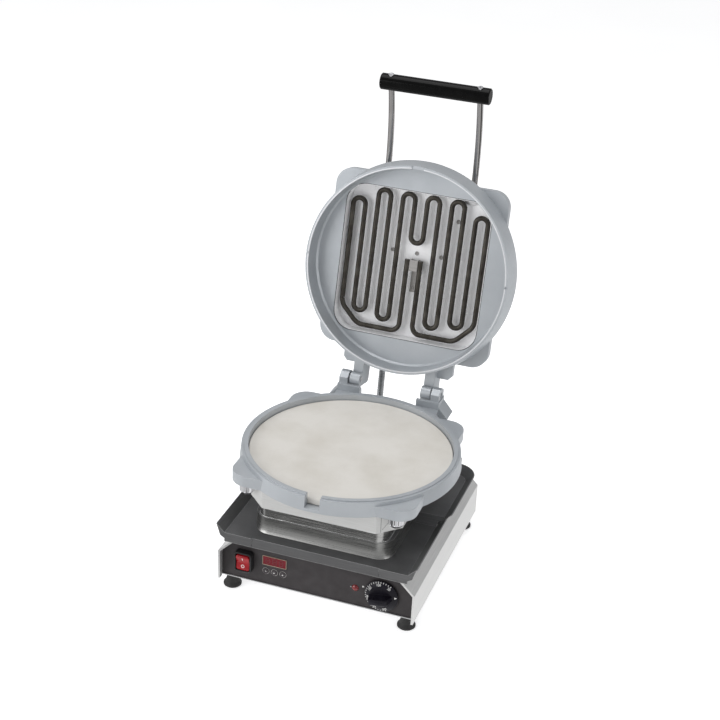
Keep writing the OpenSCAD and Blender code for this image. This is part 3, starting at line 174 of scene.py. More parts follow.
def stone_top():
    """The middle of the stone's upper face."""
    middle = centre("baking_stone")
    return Vector((middle.x, middle.y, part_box("baking_stone")[1].z))


def opened():
    """The matrix that takes a point of the shut lid to where it is on the open lid."""
    pivot = Matrix.Translation(Vector(HINGE["pos_m"]))
    return pivot @ Matrix.Rotation(-math.radians(LID_OPEN), 4, "X") @ pivot.inverted()


# ---- camera, light and floor ----

def add_camera():
    azimuth, elevation, roll = map(math.radians, (CAMERA_AZIMUTH, CAMERA_ELEVATION, CAMERA_ROLL))
    back = Vector((math.sin(azimuth) * math.cos(elevation), -math.cos(azimuth) * math.cos(elevation),
                   math.sin(elevation)))
    right = Vector((math.cos(azimuth), math.sin(azimuth), 0))
    up = back.cross(right)
    rolled_right = math.cos(roll) * right + math.sin(roll) * up
    rolled_up = -math.sin(roll) * right + math.cos(roll) * up
    camera = bpy.data.objects.new("camera", bpy.data.cameras.new("camera"))
    camera.data.lens = CAMERA_LENS
    camera.data.sensor_width = 36
    camera.data.shift_x = CAMERA_SHIFT
    turn = Matrix((rolled_right, rolled_up, back)).transposed().to_4x4()
    camera.matrix_world = Matrix.Translation(stone_top() + CAMERA_TARGET + CAMERA_DISTANCE * back) @ turn
    bpy.context.scene.collection.objects.link(camera)
    bpy.context.scene.camera = camera


def add_softbox(name, place, aim, width, height, power):
    """A rectangular area lamp at place that faces aim."""
    lamp = bpy.data.lights.new(name, "AREA")
    lamp.shape = "RECTANGLE"
    lamp.size, lamp.size_y = width, height
    lamp.energy = power
    softbox = bpy.data.objects.new(name, lamp)
    softbox.location = place
    softbox.rotation_euler = (Vector(aim) - Vector(place)).to_track_quat("-Z", "Y").to_euler()
    bpy.context.scene.collection.objects.link(softbox)


def add_world():
    """White behind the object, bands of light and dark cards in its reflections, soft grey fill elsewhere."""
    world = bpy.data.worlds.new("studio")
    bpy.context.scene.world = world
    world.use_nodes = True
    tree = world.node_tree
    tree.nodes.clear()

    def node(kind, **sockets):
        made = tree.nodes.new(kind)
        for name, value in sockets.items():
            made.inputs[name].default_value = value
        return made

    output = node("ShaderNodeOutputWorld")
    path = node("ShaderNodeLightPath")
    white = node("ShaderNodeBackground", Strength=1.0)
    white.inputs["Color"].default_value = (1, 1, 1, 1)
    cards = node("ShaderNodeBackground", Strength=1.0)
    fill = node("ShaderNodeBackground", Strength=0.42)
    fill.inputs["Color"].default_value = (0.97, 0.98, 1, 1)
    direction = node("ShaderNodeTexCoord")
    split = node("ShaderNodeSeparateXYZ")
    tree.links.new(direction.outputs["Generated"], split.inputs[0])
    height = node("ShaderNodeValToRGB")
    ramp = height.color_ramp
    stops = ((0.0, 0.16), (0.36, 0.30), (0.47, 0.55), (0.53, 0.60), (0.60, 0.45), (0.80, 0.40), (1.0, 0.70))
    while len(ramp.elements) < len(stops):
        ramp.elements.new(0.5)
    for element, (place, level) in zip(ramp.elements, stops):
        element.position = place
        element.color = (level, level, level * 1.01, 1)
    half = node("ShaderNodeMath")
    half.operation = "MULTIPLY_ADD"
    half.inputs[1].default_value = 0.5
    half.inputs[2].default_value = 0.5
    tree.links.new(split.outputs["Z"], half.inputs[0])
    tree.links.new(half.outputs[0], height.inputs[0])
    tree.links.new(height.outputs[0], cards.inputs["Color"])
    lit = node("ShaderNodeMixShader")
    tree.links.new(path.outputs["Is Glossy Ray"], lit.inputs[0])
    tree.links.new(fill.outputs[0], lit.inputs[1])
    tree.links.new(cards.outputs[0], lit.inputs[2])
    seen = node("ShaderNodeMath")
    seen.operation = "MAXIMUM"
    tree.links.new(path.outputs["Is Camera Ray"], seen.inputs[0])
    tree.links.new(path.outputs["Is Transmission Ray"], seen.inputs[1])
    mixed = node("ShaderNodeMixShader")
    tree.links.new(seen.outputs[0], mixed.inputs[0])
    tree.links.new(lit.outputs[0], mixed.inputs[1])
    tree.links.new(white.outputs[0], mixed.inputs[2])
    tree.links.new(mixed.outputs[0], output.inputs["Surface"])


def add_floor():
    """A plain white floor that keeps the object's soft shadow."""
    mesh = bpy.data.meshes.new("floor")
    mesh.from_pydata([(*corner, 0) for corner in rectangle(FLOOR_HALF, FLOOR_HALF)], [], [(0, 1, 2, 3)])
    floor = bpy.data.objects.new("floor", mesh)
    bpy.context.scene.collection.objects.link(floor)
    paint = Finish("floor_paint", roughness=0.9)
    paint.colour(paint.noise(3, detail=2), (0.90, 0.90, 0.90), (0.93, 0.93, 0.93))
    paint.set("Emission Color", (1, 1, 1, 1))
    paint.set("Emission Strength", FLOOR_GLOW)
    paint.mirrored(FLOOR_CARDS)
    mesh.materials.append(paint.material)


# ---- materials ----

class Finish:
    """A node material for one surface, to which grain, colour variation and bumps are added one by one.
    Noise is in the object's own metres, so that the grain keeps its real scale."""

    def __init__(self, name, roughness=0.5, metallic=0.0, coat=0.0, coat_roughness=0.05, specular=0.5):
        self.material = bpy.data.materials.new(name)
        self.material.use_nodes = True
        self.tree = self.material.node_tree
        self.shader = self.tree.nodes["Principled BSDF"]
        self.set("Roughness", roughness)
        self.set("Metallic", metallic)
        self.set("Coat Weight", coat)
        self.set("Coat Roughness", coat_roughness)
        self.set("Specular IOR Level", specular)
        self.place = self.tree.nodes.new("ShaderNodeTexCoord").outputs["Object"]
        self.normal = None

    def set(self, socket, value):
        self.shader.inputs[socket].default_value = value

    def link(self, output, socket):
        self.tree.links.new(output, self.shader.inputs[socket])

    def noise(self, scale, detail=3, stretch=(1, 1, 1), distortion=0.0):
        """Noise with scale features a metre, drawn out where stretch is small."""
        mapping = self.tree.nodes.new("ShaderNodeMapping")
        mapping.inputs["Scale"].default_value = stretch
        self.tree.links.new(self.place, mapping.inputs["Vector"])
        texture = self.tree.nodes.new("ShaderNodeTexNoise")
        texture.inputs["Scale"].default_value = scale
        texture.inputs["Detail"].default_value = detail
        texture.inputs["Distortion"].default_value = distortion
        self.tree.links.new(mapping.outputs[0], texture.inputs["Vector"])
        return texture.outputs["Fac"]

    def cells(self, scale, output="Distance"):
        texture = self.tree.nodes.new("ShaderNodeTexVoronoi")
        texture.inputs["Scale"].default_value = scale
        self.tree.links.new(self.place, texture.inputs["Vector"])
        return texture.outputs[output]

    def ramp(self, value, stops):
        """Turns a value into a colour; stops are (place, colour) pairs."""
        ramp = self.tree.nodes.new("ShaderNodeValToRGB")
        elements = ramp.color_ramp.elements
        while len(elements) < len(stops):
            elements.new(0.5)
        for element, (place, colour) in zip(elements, stops):
            element.position = place
            element.color = (*colour, 1)
        self.tree.links.new(value, ramp.inputs[0])
        return ramp.outputs[0]

    def mapped(self, value, low, high, start=0.3, end=0.7):
        mapper = self.tree.nodes.new("ShaderNodeMapRange")
        self.tree.links.new(value, mapper.inputs["Value"])
        for name, number in (("From Min", start), ("From Max", end), ("To Min", low), ("To Max", high)):
            mapper.inputs[name].default_value = number
        return mapper.outputs[0]

    def colour(self, value, dark, light, start=0.3, end=0.7):
        self.link(self.ramp(value, [(start, dark), (end, light)]), "Base Color")
        return self

    def rough(self, value, low, high, start=0.3, end=0.7):
        self.link(self.mapped(value, low, high, start, end), "Roughness")
        return self

    def bump(self, value, depth, strength=1.0):
        """Raises the surface by value times depth, in metres, on top of the bumps so far."""
        bump = self.tree.nodes.new("ShaderNodeBump")
        bump.inputs["Distance"].default_value = depth
        bump.inputs["Strength"].default_value = strength
        self.tree.links.new(value, bump.inputs["Height"])
        if self.normal is not None:
            self.tree.links.new(self.normal, bump.inputs["Normal"])
        self.normal = bump.outputs[0]
        self.link(self.normal, "Normal")
        return self

    def mirrored(self, cards):
        """Lets shiny pieces see this surface as a ring of grey cards round the middle, and nothing else."""
        split = self.tree.nodes.new("ShaderNodeSeparateXYZ")
        self.tree.links.new(self.place, split.inputs[0])
        turn = self.tree.nodes.new("ShaderNodeMath")
        turn.operation = "ARCTAN2"
        self.tree.links.new(split.outputs["X"], turn.inputs[0])
        self.tree.links.new(split.outputs["Y"], turn.inputs[1])
        share = self.mapped(turn.outputs[0], 1.0, 0.0, -math.pi, math.pi)
        length = self.tree.nodes.new("ShaderNodeVectorMath")
        length.operation = "LENGTH"
        self.tree.links.new(self.place, length.inputs[0])
        seen = self.ramp(share, [(at, (grey,) * 3) for at, grey in cards])
        for stops, span in ((FLOOR_RING, CARDS_START), (FLOOR_NEAR, RING_START)):
            mix = self.tree.nodes.new("ShaderNodeMix")
            mix.data_type = "RGBA"
            self.tree.links.new(self.mapped(length.outputs["Value"], 0.0, 1.0, *span), mix.inputs[0])
            self.tree.links.new(self.ramp(share, [(at, (grey,) * 3) for at, grey in stops]), mix.inputs[6])
            self.tree.links.new(seen, mix.inputs[7])
            seen = mix.outputs[2]
        light = self.tree.nodes.new("ShaderNodeEmission")
        self.tree.links.new(seen, light.inputs["Color"])
        path = self.tree.nodes.new("ShaderNodeLightPath")
        choice = self.tree.nodes.new("ShaderNodeMixShader")
        self.tree.links.new(path.outputs["Is Glossy Ray"], choice.inputs[0])
        self.tree.links.new(self.shader.outputs[0], choice.inputs[1])
        self.tree.links.new(light.outputs[0], choice.inputs[2])
        self.tree.links.new(choice.outputs[0], self.tree.nodes["Material Output"].inputs["Surface"])

    def painted_edge_highlights(self, light, radius):
        """Paints the colour bright along folds and rims: a painted highlight where the edges catch the light.
        """
        bevel = self.tree.nodes.new("ShaderNodeBevel")
        bevel.samples = 6
        bevel.inputs["Radius"].default_value = radius
        flat = self.tree.nodes.new("ShaderNodeNewGeometry")
        dot = self.tree.nodes.new("ShaderNodeVectorMath")
        dot.operation = "DOT_PRODUCT"
        self.tree.links.new(bevel.outputs[0], dot.inputs[0])
        self.tree.links.new(flat.outputs["True Normal"], dot.inputs[1])
        mix = self.tree.nodes.new("ShaderNodeMix")
        mix.data_type = "RGBA"
        self.tree.links.new(self.mapped(dot.outputs["Value"], 1.0, 0.0, 0.955, 0.993), mix.inputs[0])
        self.tree.links.new(self.shader.inputs["Base Color"].links[0].from_socket, mix.inputs[6])
        mix.inputs[7].default_value = (*light, 1)
        self.link(mix.outputs[2], "Base Color")
        return self

    def soft_edges(self, radius):
        """Rounds the look of hard edges by this radius."""
        bevel = self.tree.nodes.new("ShaderNodeBevel")
        bevel.samples = 4
        bevel.inputs["Radius"].default_value = radius
        self.normal = bevel.outputs[0]
        self.link(self.normal, "Normal")
        return self


def brushed(name, dark, light, roughness, metallic=1.0, edge=0.4 * MM, depth=0.02 * MM, edge_highlight=None,
            edge_highlight_radius=0.7 * MM):
    """Sheet steel with fine lines, a faint cloudiness, soft folds and perhaps a painted highlight along its
    edges.
    """
    steel = Finish(name, metallic=metallic).soft_edges(edge)
    lines = steel.noise(60, detail=4, stretch=(0.5, 0.5, 26))
    steel.colour(lines, dark, light)
    # a painted highlight along folds and rims
    if edge_highlight:
        steel.painted_edge_highlights(edge_highlight, edge_highlight_radius)
    steel.rough(lines, roughness - 0.07, roughness + 0.09)
    steel.bump(lines, depth, 0.35)
    steel.bump(steel.noise(9, detail=1), 0.4 * MM, 0.12)
    return steel.material


def coved(name, dark, light, bottom, top):
    """Bright sheet whose lower part sweeps out a little, between two heights."""
    sheet = Finish(name, metallic=1.0).soft_edges(0.4 * MM)
    lines = sheet.noise(60, detail=4, stretch=(0.5, 0.5, 26))
    sheet.colour(lines, dark, light)
    sheet.rough(lines, 0.24, 0.36)
    split = sheet.tree.nodes.new("ShaderNodeSeparateXYZ")
    sheet.tree.links.new(sheet.place, split.inputs[0])
    sweep = sheet.tree.nodes.new("ShaderNodeMath")
    sweep.operation = "POWER"
    sweep.inputs[1].default_value = 3.0
    sheet.tree.links.new(sheet.mapped(split.outputs["Z"], 1.0, 0.0, bottom, top), sweep.inputs[0])
    return sheet.bump(sweep.outputs[0], 4 * MM).material


def cast(name, dark, light, roughness, grain=0.05 * MM):
    """Cast and tumbled aluminium: an even satin with a fine sandy grain."""
    metal = Finish(name, metallic=0.45).soft_edges(0.8 * MM)
    metal.colour(metal.noise(14, detail=5), dark, light)
    metal.rough(metal.noise(240, detail=3), roughness - 0.06, roughness + 0.08)
    metal.bump(metal.noise(900, detail=2), grain, 0.25)
    return metal.material


def polished(name, dark, light, roughness=0.08):
    """Plated metal with a few faint wipes."""
    metal = Finish(name, metallic=1.0).soft_edges(0.25 * MM)
    metal.colour(metal.noise(40, detail=2), dark, light)
    metal.rough(metal.noise(120, detail=3, stretch=(1, 1, 0.3)), roughness * 0.7, roughness * 1.6)
    return metal.material


def bright_sheet(name):
    """Bright rolled aluminium sheet with a faint drift in its tone."""
    sheet = Finish(name, metallic=0.2).soft_edges(0.6 * MM)
    sheet.colour(sheet.noise(6, detail=2), (0.90, 0.90, 0.91), (0.97, 0.97, 0.98))
    sheet.rough(sheet.noise(60, detail=2), 0.40, 0.48)
    sheet.bump(sheet.noise(5, detail=0), 1.5 * MM, 0.2)
    return sheet.material


def moulded(name, dark, light, roughness, grain=0.04 * MM, coat=0.0, edge=0.4 * MM, specular=0.5):
    """Moulded plastic with a fine texture."""
    plastic = Finish(name, roughness=roughness, coat=coat, specular=specular).soft_edges(edge)
    plastic.colour(plastic.noise(60, detail=3), dark, light)
    plastic.rough(plastic.noise(500, detail=2), roughness - 0.05, roughness + 0.08)
    plastic.bump(plastic.noise(1400, detail=2), grain, 0.3)
    return plastic.material


def gloss(name, dark, light, roughness=0.07, transmission=0.0, peel=0.05 * MM, coat=0.6, specular=0.5):
    """Glossy plastic with a faint orange peel; a little light goes through the red ones."""
    plastic = Finish(name, roughness=roughness, coat=coat, coat_roughness=0.04, specular=specular)
    plastic.soft_edges(0.5 * MM)
    plastic.colour(plastic.noise(70, detail=2), dark, light)
    plastic.rough(plastic.noise(260, detail=3), roughness * 0.7, roughness * 1.8)
    plastic.bump(plastic.noise(160, detail=1), peel, 0.15)
    plastic.set("Transmission Weight", transmission)
    return plastic.material


def stone(name):
    """Unglazed fireclay: warm white with sandy specks, pores and a few faint stains."""
    clay = Finish(name, roughness=0.85, specular=0.25).soft_edges(1.2 * MM)
    stains = clay.noise(16, detail=6)
    specks = clay.cells(520)
    shade = clay.tree.nodes.new("ShaderNodeMix")
    shade.data_type = "RGBA"
    shade.blend_type = "MULTIPLY"
    shade.inputs[0].default_value = 0.5
    tones = clay.ramp(stains, [(0.32, (0.66, 0.63, 0.575)), (0.62, (0.74, 0.715, 0.67))])
    clay.tree.links.new(tones, shade.inputs[6])
    clay.tree.links.new(clay.ramp(specks, [(0.05, (0.72, 0.68, 0.60)), (0.20, (1, 1, 1))]), shade.inputs[7])
    clay.link(shade.outputs[2], "Base Color")
    clay.bump(clay.noise(700, detail=4), 0.25 * MM, 0.35)
    clay.bump(specks, 0.2 * MM, 0.2)
    return clay.material


def heater_sheath(name):
    """Heater tube steel, oxidised in olive and brown patches by use."""
    sheath = Finish(name, metallic=0.75)
    patches = sheath.noise(55, detail=5)
    sheath.link(sheath.ramp(patches, [(0.30, (0.030, 0.026, 0.021)), (0.50, (0.052, 0.047, 0.040)),
                                      (0.72, (0.085, 0.078, 0.066))]), "Base Color")
    sheath.rough(patches, 0.32, 0.50)
    sheath.bump(sheath.noise(800, detail=3), 0.04 * MM, 0.3)
    return sheath.material


def wool(name):
    """Mineral wool: matted pale fibres."""
    mat = Finish(name, roughness=0.95, specular=0.1)
    fibres = mat.noise(420, detail=8, stretch=(1, 1, 5), distortion=1.5)
    mat.colour(fibres, (0.52, 0.47, 0.32), (0.84, 0.79, 0.60))
    mat.bump(fibres, 0.9 * MM, 0.8)
    return mat.material


def board(name):
    """Circuit board lacquer with tracks showing through."""
    lacquer = Finish(name, roughness=0.35)
    tracks = lacquer.cells(260)
    lacquer.link(lacquer.ramp(tracks, [(0.10, (0.10, 0.34, 0.16)), (0.30, (0.03, 0.17, 0.07))]), "Base Color")
    lacquer.bump(tracks, 0.05 * MM, 0.4)
    return lacquer.material


def ink(name, colour):
    """Screen-printed ink, a little uneven."""
    film = Finish(name, roughness=0.55)
    film.colour(film.noise(900, detail=2), tuple(0.88 * c for c in colour), colour)
    return film.material


MATERIALS = {
    # The casing has a painted highlight along its edges
    "stainless_casing": brushed("stainless_casing", (0.66, 0.66, 0.655), (0.76, 0.76, 0.755), 0.36, 0.8,
                                edge_highlight=(0.86, 0.86, 0.86)),
    "stainless_sheet": brushed("stainless_sheet", (0.56, 0.56, 0.55), (0.64, 0.64, 0.63), 0.45, 0.35),
    # The tray has a painted highlight along its folds and rims
    "tray_sheet": brushed("tray_sheet", (0.105, 0.105, 0.107), (0.145, 0.145, 0.147), 0.42, 0.45,
                          edge_highlight=(0.36, 0.36, 0.36), edge_highlight_radius=1.1 * MM),
    "zinc_steel": brushed("zinc_steel", (0.52, 0.52, 0.53), (0.66, 0.66, 0.67), 0.38),
    "conduit_steel": brushed("conduit_steel", (0.30, 0.31, 0.32), (0.44, 0.45, 0.46), 0.30),
    "chrome": polished("chrome", (0.72, 0.72, 0.74), (0.82, 0.82, 0.84)),
    "copper_probe": polished("copper_probe", (0.55, 0.36, 0.24), (0.72, 0.50, 0.34), 0.25),
    "cast_aluminium": cast("cast_aluminium", (0.43, 0.455, 0.48), (0.50, 0.525, 0.55), 0.42),
    "bright_aluminium": bright_sheet("bright_aluminium"),
    "heater_steel": heater_sheath("heater_steel"),
    "white_stone": stone("white_stone"),
    "mineral_wool": wool("mineral_wool"),
    "circuit_board": board("circuit_board"),
    "dark_panel": moulded("dark_panel", (0.040, 0.036, 0.037), (0.052, 0.047, 0.049), 0.50, specular=0.2),
    "black_rubber": moulded("black_rubber", (0.012, 0.012, 0.012), (0.022, 0.022, 0.022), 0.62, 0.10 * MM),
    "black_plastic": moulded("black_plastic", (0.008, 0.008, 0.009), (0.014, 0.014, 0.015), 0.34),
    "knob_plastic": moulded("knob_plastic", (0.006, 0.005, 0.009), (0.011, 0.010, 0.016), 0.30,
                            specular=0.22),
    "key_plastic": moulded("key_plastic", (0.050, 0.043, 0.046), (0.070, 0.062, 0.066), 0.40, specular=0.2),
    "relay_plastic": moulded("relay_plastic", (0.03, 0.06, 0.16), (0.05, 0.09, 0.22), 0.40),
    "cream_plastic": moulded("cream_plastic", (0.66, 0.62, 0.50), (0.76, 0.72, 0.60), 0.45),
    "grip_bakelite": gloss("grip_bakelite", (0.002, 0.002, 0.002), (0.004, 0.004, 0.004), 0.10, coat=0.0,
                           specular=0.10),
    "red_plastic": gloss("red_plastic", (0.30, 0.007, 0.012), (0.40, 0.012, 0.020), 0.16,
                         transmission=0.1, coat=0.0, specular=0.35),
    "display_red": gloss("display_red", (0.13, 0.005, 0.012), (0.17, 0.008, 0.016), 0.2, coat=0.0,
                         specular=0.25),
    "lamp_red": gloss("lamp_red", (0.16, 0.004, 0.006), (0.26, 0.010, 0.012), transmission=0.2),
}
WHITE_INK = ink("white_ink", (0.86, 0.85, 0.83))
GREY_INK = ink("grey_ink", (0.40, 0.38, 0.37))
SEGMENT_INK = ink("segment_ink", (0.12, 0.012, 0.016))
SEAM = ink("seam", (0.10, 0.10, 0.10))
# Near-black: the tray flange's slits, and painted shade for the lid's pocket gap and slots
SLIT_AND_GAP_SHADE = ink("slit_and_gap_shade", (0.012, 0.012, 0.012))
# The neck has a painted highlight along its edges
NECK_STEEL = brushed("neck_steel", (0.40, 0.40, 0.395), (0.60, 0.60, 0.59), 0.22, edge_highlight=(0.80, 0.80, 0.80))
SHEATH_STEEL = coved("sheath_steel", (0.30, 0.30, 0.295), (0.40, 0.40, 0.39), 106.5 * MM, 134.5 * MM)
MACHINED = brushed("machined", (0.66, 0.67, 0.69), (0.76, 0.77, 0.79), 0.42, 0.4)
ROD_STEEL = polished("rod_steel", (0.40, 0.385, 0.38), (0.50, 0.485, 0.48), 0.12)
DULL_ZINC = brushed("dull_zinc", (0.30, 0.29, 0.28), (0.40, 0.385, 0.375), 0.45, 0.5)
TAN_EDGE = brushed("tan_edge", (0.34, 0.27, 0.21), (0.44, 0.36, 0.28), 0.45, 0.5)


def dress_nodes():
    """Gives every CAD node the finish of its material slot."""
    for node in frame["nodes"].values():
        for held in node.material_slots:
            held.material = MATERIALS[held.material.name]
    for name in ("terminal_bracket", "reflector_screws"):
        frame["nodes"][name].material_slots[0].material = DULL_ZINC
    frame["nodes"]["handle_rods"].material_slots[0].material = ROD_STEEL


# ---- making pieces ----

def piece(name, mesh, material, body):
    """A mesh that rides on a CAD body and has one material."""
    made = bpy.data.objects.new(name, mesh)
    bpy.context.scene.collection.objects.link(made)
    if not mesh.materials:
        mesh.materials.append(material)
    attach(made, body)
    return made


TREES = {}


def surface(mesh):
    """A mesh made ready for rays."""
    return BVHTree.FromPolygons([v.co for v in mesh.vertices], [tuple(p.vertices) for p in mesh.polygons])


def hit(node, origin, direction):
    """Where a ray first meets a node's visible surface at rest, or None."""
    if node not in TREES:
        TREES[node] = surface(frame["nodes"][node].data)
    return TREES[node].ray_cast(origin, direction.normalized())[0]


def stuck_on(flat, node, origin, right, up, proud=INK):
    """Presses a flat mesh, drawn in metres on the plane of right and up, onto a node's surface.
    It is looked at against right x up, and gives the same mesh with its points on the surface."""
    towards = -right.cross(up)
    for vertex in flat.vertices:
        start = origin + right * vertex.co.x + up * vertex.co.y
        place = hit(node, start - towards * 50 * MM, towards)
        vertex.co = (place if place else start) - towards * (proud + vertex.co.z)
    return flat


def polygons(name, outlines):
    """A flat mesh of filled outlines, each a list of (x, y) points."""
    shape = bmesh.new()
    for outline in outlines:
        shape.faces.new([shape.verts.new((x, y, 0)) for x, y in outline])
    mesh = bpy.data.meshes.new(name)
    shape.to_mesh(mesh)
    shape.free()
    return mesh


def ring(name, inner, outer, sides=48):
    """A flat ring."""
    def at(radius, k):
        angle = 2 * math.pi * k / sides
        return (radius * math.cos(angle), radius * math.sin(angle))

    return polygons(name, [[at(outer, k), at(outer, k + 1), at(inner, k + 1), at(inner, k)]
                           for k in range(sides)])


def numeral(text, height):
    """The flat mesh of a number, centred on its own middle."""
    curve = bpy.data.curves.new("numeral", "FONT")
    curve.body = text
    curve.size = height * 1.4
    curve.align_x = "CENTER"
    curve.align_y = "CENTER"
    holder = bpy.data.objects.new("numeral", curve)
    bpy.context.scene.collection.objects.link(holder)
    mesh = bpy.data.meshes.new_from_object(holder)
    bpy.data.objects.remove(holder)
    return mesh


FRONT = {"right": Vector((1, 0, 0)), "up": Vector((0, 0, 1))}


def front_mark(name, mesh, node, place, material, body):
    """A mark on something that faces the front, round a point (x, z) of it."""
    stuck_on(mesh, node, Vector((place[0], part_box(node)[0].y, place[1])), **FRONT)
    return piece(name, mesh, material, body)


# ---- the controls ----

def add_dial():
    """Numbers, ticks and the zero triangle on the knob's rim, counterclockwise from near its right side."""
    middle = centre("thermostat_knob")
    low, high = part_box("thermostat_knob")
    radius = (high.x - low.x) / 2
    origin = Vector((middle.x, low.y, middle.z))

    def radial(turn):
        """The right and up of a mark that stands on the rim this many degrees past zero."""
        angle = math.radians(DIAL_ZERO + turn)
        up = Vector((math.cos(angle), 0, math.sin(angle)))
        return Vector((up.z, 0, -up.x)), up

    for step in range(1, DIAL_TOP // DIAL_STEP + 1):
        right, up = radial(step * DIAL_TURN)
        mesh = numeral(str(step * DIAL_STEP), DIAL_NUMBER_H)
        stuck_on(mesh, "thermostat_knob", origin + up * radius * DIAL_NUMBER_RING, right, up)
        piece(f"dial_number_{step * DIAL_STEP}", mesh, WHITE_INK, "knob")
    for tick in range(DIAL_TICKS, DIAL_TOP // DIAL_STEP * DIAL_TICKS + 1):
        main = tick % DIAL_TICKS == 0
        right, up = radial(tick * DIAL_TURN / DIAL_TICKS)
        half_w, half_l = (0.42 * MM, 1.3 * MM) if main else (0.34 * MM, 1.0 * MM)
        mesh = polygons("tick", [rectangle(half_w, half_l)])
        stuck_on(mesh, "thermostat_knob", origin + up * radius * DIAL_TICK_RING, right, up)
        piece(f"dial_tick_{tick}", mesh, WHITE_INK, "knob")
    right, up = radial(0)
    mesh = polygons("zero", [[(-1.7 * MM, -1.6 * MM), (1.7 * MM, -1.6 * MM), (0, 1.9 * MM)]])
    stuck_on(mesh, "thermostat_knob", origin + up * radius * DIAL_ZERO_RING, right, up)
    piece("dial_zero", mesh, WHITE_INK, "knob")


def add_panel_marks():
    """The knob's pointer, a grey dash left of the lamp, the rings round the keys and the symbols on them."""
    lamp, knob = centre("indicator_lamp"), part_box("thermostat_knob")
    pointer = polygons("pointer", [[(-1.6 * MM, -1.7 * MM), (1.6 * MM, 0), (-1.6 * MM, 1.7 * MM)]])
    turn = math.radians(DIAL_POINTER)
    reach = (knob[1].x - knob[0].x) / 2 + 4 * MM
    place = ((knob[0].x + knob[1].x) / 2 + reach * math.cos(turn),
             (knob[0].z + knob[1].z) / 2 + reach * math.sin(turn))
    front_mark("knob_pointer", pointer, "front_panel", place, WHITE_INK, "base")
    # A small pale grey dash left of the lamp
    dash = polygons("dash", [rectangle(0.9 * MM, 0.8 * MM)])
    front_mark("lamp_dash", dash, "front_panel", (lamp.x - 7 * MM, lamp.z), GREY_INK, "base")
    side = 1.3 * MM
    symbols = {
        "timer_key": [[(-0.3 * MM, -0.3 * MM), (0.3 * MM, -0.3 * MM), (0.3 * MM, side), (-0.3 * MM, side)],
                      [(0.3 * MM, -0.3 * MM), (side, -0.3 * MM), (side, 0.3 * MM), (0.3 * MM, 0.3 * MM)]],
        "minus_key": [[(-side, 0.6 * side), (0, -0.9 * side), (side, 0.6 * side)]],
        "plus_key": [[(-side, -0.6 * side), (side, -0.6 * side), (0, 0.9 * side)]],
    }
    for key, outlines in symbols.items():
        at = centre(key)
        circle = ring("ring", 4.95 * MM, 5.6 * MM)
        front_mark(f"{key}_ring", circle, "front_panel", (at.x, at.z), GREY_INK, "base")
        front_mark(f"{key}_symbol", polygons("symbol", outlines), key, (at.x, at.z), WHITE_INK, key)


def add_rocker_marks():
    """The bar for on in the rocker's upper half and the ring for off in its lower half."""
    at = centre("rocker")
    bar = polygons("bar", [rectangle(0.5 * MM, 2.6 * MM)])
    front_mark("rocker_on", bar, "rocker", (at.x, at.z + ROCKER_MARK_REACH), WHITE_INK, "rocker")
    off = ring("off", 1.9 * MM, 2.7 * MM)
    front_mark("rocker_off", off, "rocker", (at.x, at.z - ROCKER_MARK_REACH), WHITE_INK, "rocker")


def add_digits():
    """Three unlit seven-segment digits behind the display's red window."""
    at = centre("display_window")
    half_w, half_h, bar, gap = DIGIT_HALF_W, DIGIT_HALF_H, DIGIT_BAR, DIGIT_GAP

    def beam(y):
        return [(-half_w + bar + gap, y - bar), (half_w - bar - gap, y - bar), (half_w - bar - gap, y + bar),
                (-half_w + bar + gap, y + bar)]

    def post(x, y0, y1):
        return [(x - bar, y0 + gap), (x + bar, y0 + gap), (x + bar, y1 - gap), (x - bar, y1 - gap)]

    segments = [beam(half_h), beam(0), beam(-half_h), post(-half_w, 0, half_h), post(half_w, 0, half_h),
                post(-half_w, -half_h, 0), post(half_w, -half_h, 0)]
    for digit in (-1, 0, 1):
        place = (at.x + digit * DIGIT_PITCH, at.z + DISPLAY_RISE)
        mesh = polygons("digit", segments)
        front_mark(f"digit_{digit + 2}", mesh, "display_window", place, SEGMENT_INK, "base")


# ---- shapes that the source leaves plain ----

def loft(name, layers, closed=False, sharp=math.radians(35)):
    """A skin through outlines with as many points each, capped at both ends or closed on itself."""
    shape = bmesh.new()
    rows = [[shape.verts.new(point) for point in layer] for layer in layers]
    for near, far in zip(rows, rows[1:] + (rows[:1] if closed else [])):
        for k in range(len(near)):
            m = (k + 1) % len(near)
            shape.faces.new((near[k], near[m], far[m], far[k]))
    if not closed:
        shape.faces.new(list(reversed(rows[0])))
        shape.faces.new(rows[-1])
    bmesh.ops.recalc_face_normals(shape, faces=shape.faces)
    for face in shape.faces:
        face.smooth = True
    for line in shape.edges:
        line.smooth = line.calc_face_angle(0) < sharp
    mesh = bpy.data.meshes.new(name)
    shape.to_mesh(mesh)
    shape.free()
    return mesh


def joined(name, meshes):
    """One mesh with the shells of several."""
    shape = bmesh.new()
    for mesh in meshes:
        shape.from_mesh(mesh)
        bpy.data.meshes.remove(mesh)
    made = bpy.data.meshes.new(name)
    shape.to_mesh(made)
    shape.free()
    return made


def rounded(half_w, half_h, radius, steps=8):
    """The outline of a rectangle with rounded corners, round its own middle."""
    points = []
    for corner in range(4):
        side_x, side_y = ((1, 1), (-1, 1), (-1, -1), (1, -1))[corner]
        for step in range(steps + 1):
            angle = (corner + step / steps) * math.pi / 2
            points.append((side_x * (half_w - radius) + radius * math.cos(angle),
                           side_y * (half_h - radius) + radius * math.sin(angle)))
    return points


def upright(outline, middle, y, turn=0.0):
    """A flat outline stood up against the front, round the point (x, z) at a depth y."""
    c, s = math.cos(turn), math.sin(turn)
    return [(middle[0] + c * u - s * v, y, middle[1] + s * u + c * v) for u, v in outline]


def level_at(outline, middle, z):
    """A flat outline laid level, round the point (x, y) at a height z."""
    return [(middle[0] + u, middle[1] + v, z) for u, v in outline]


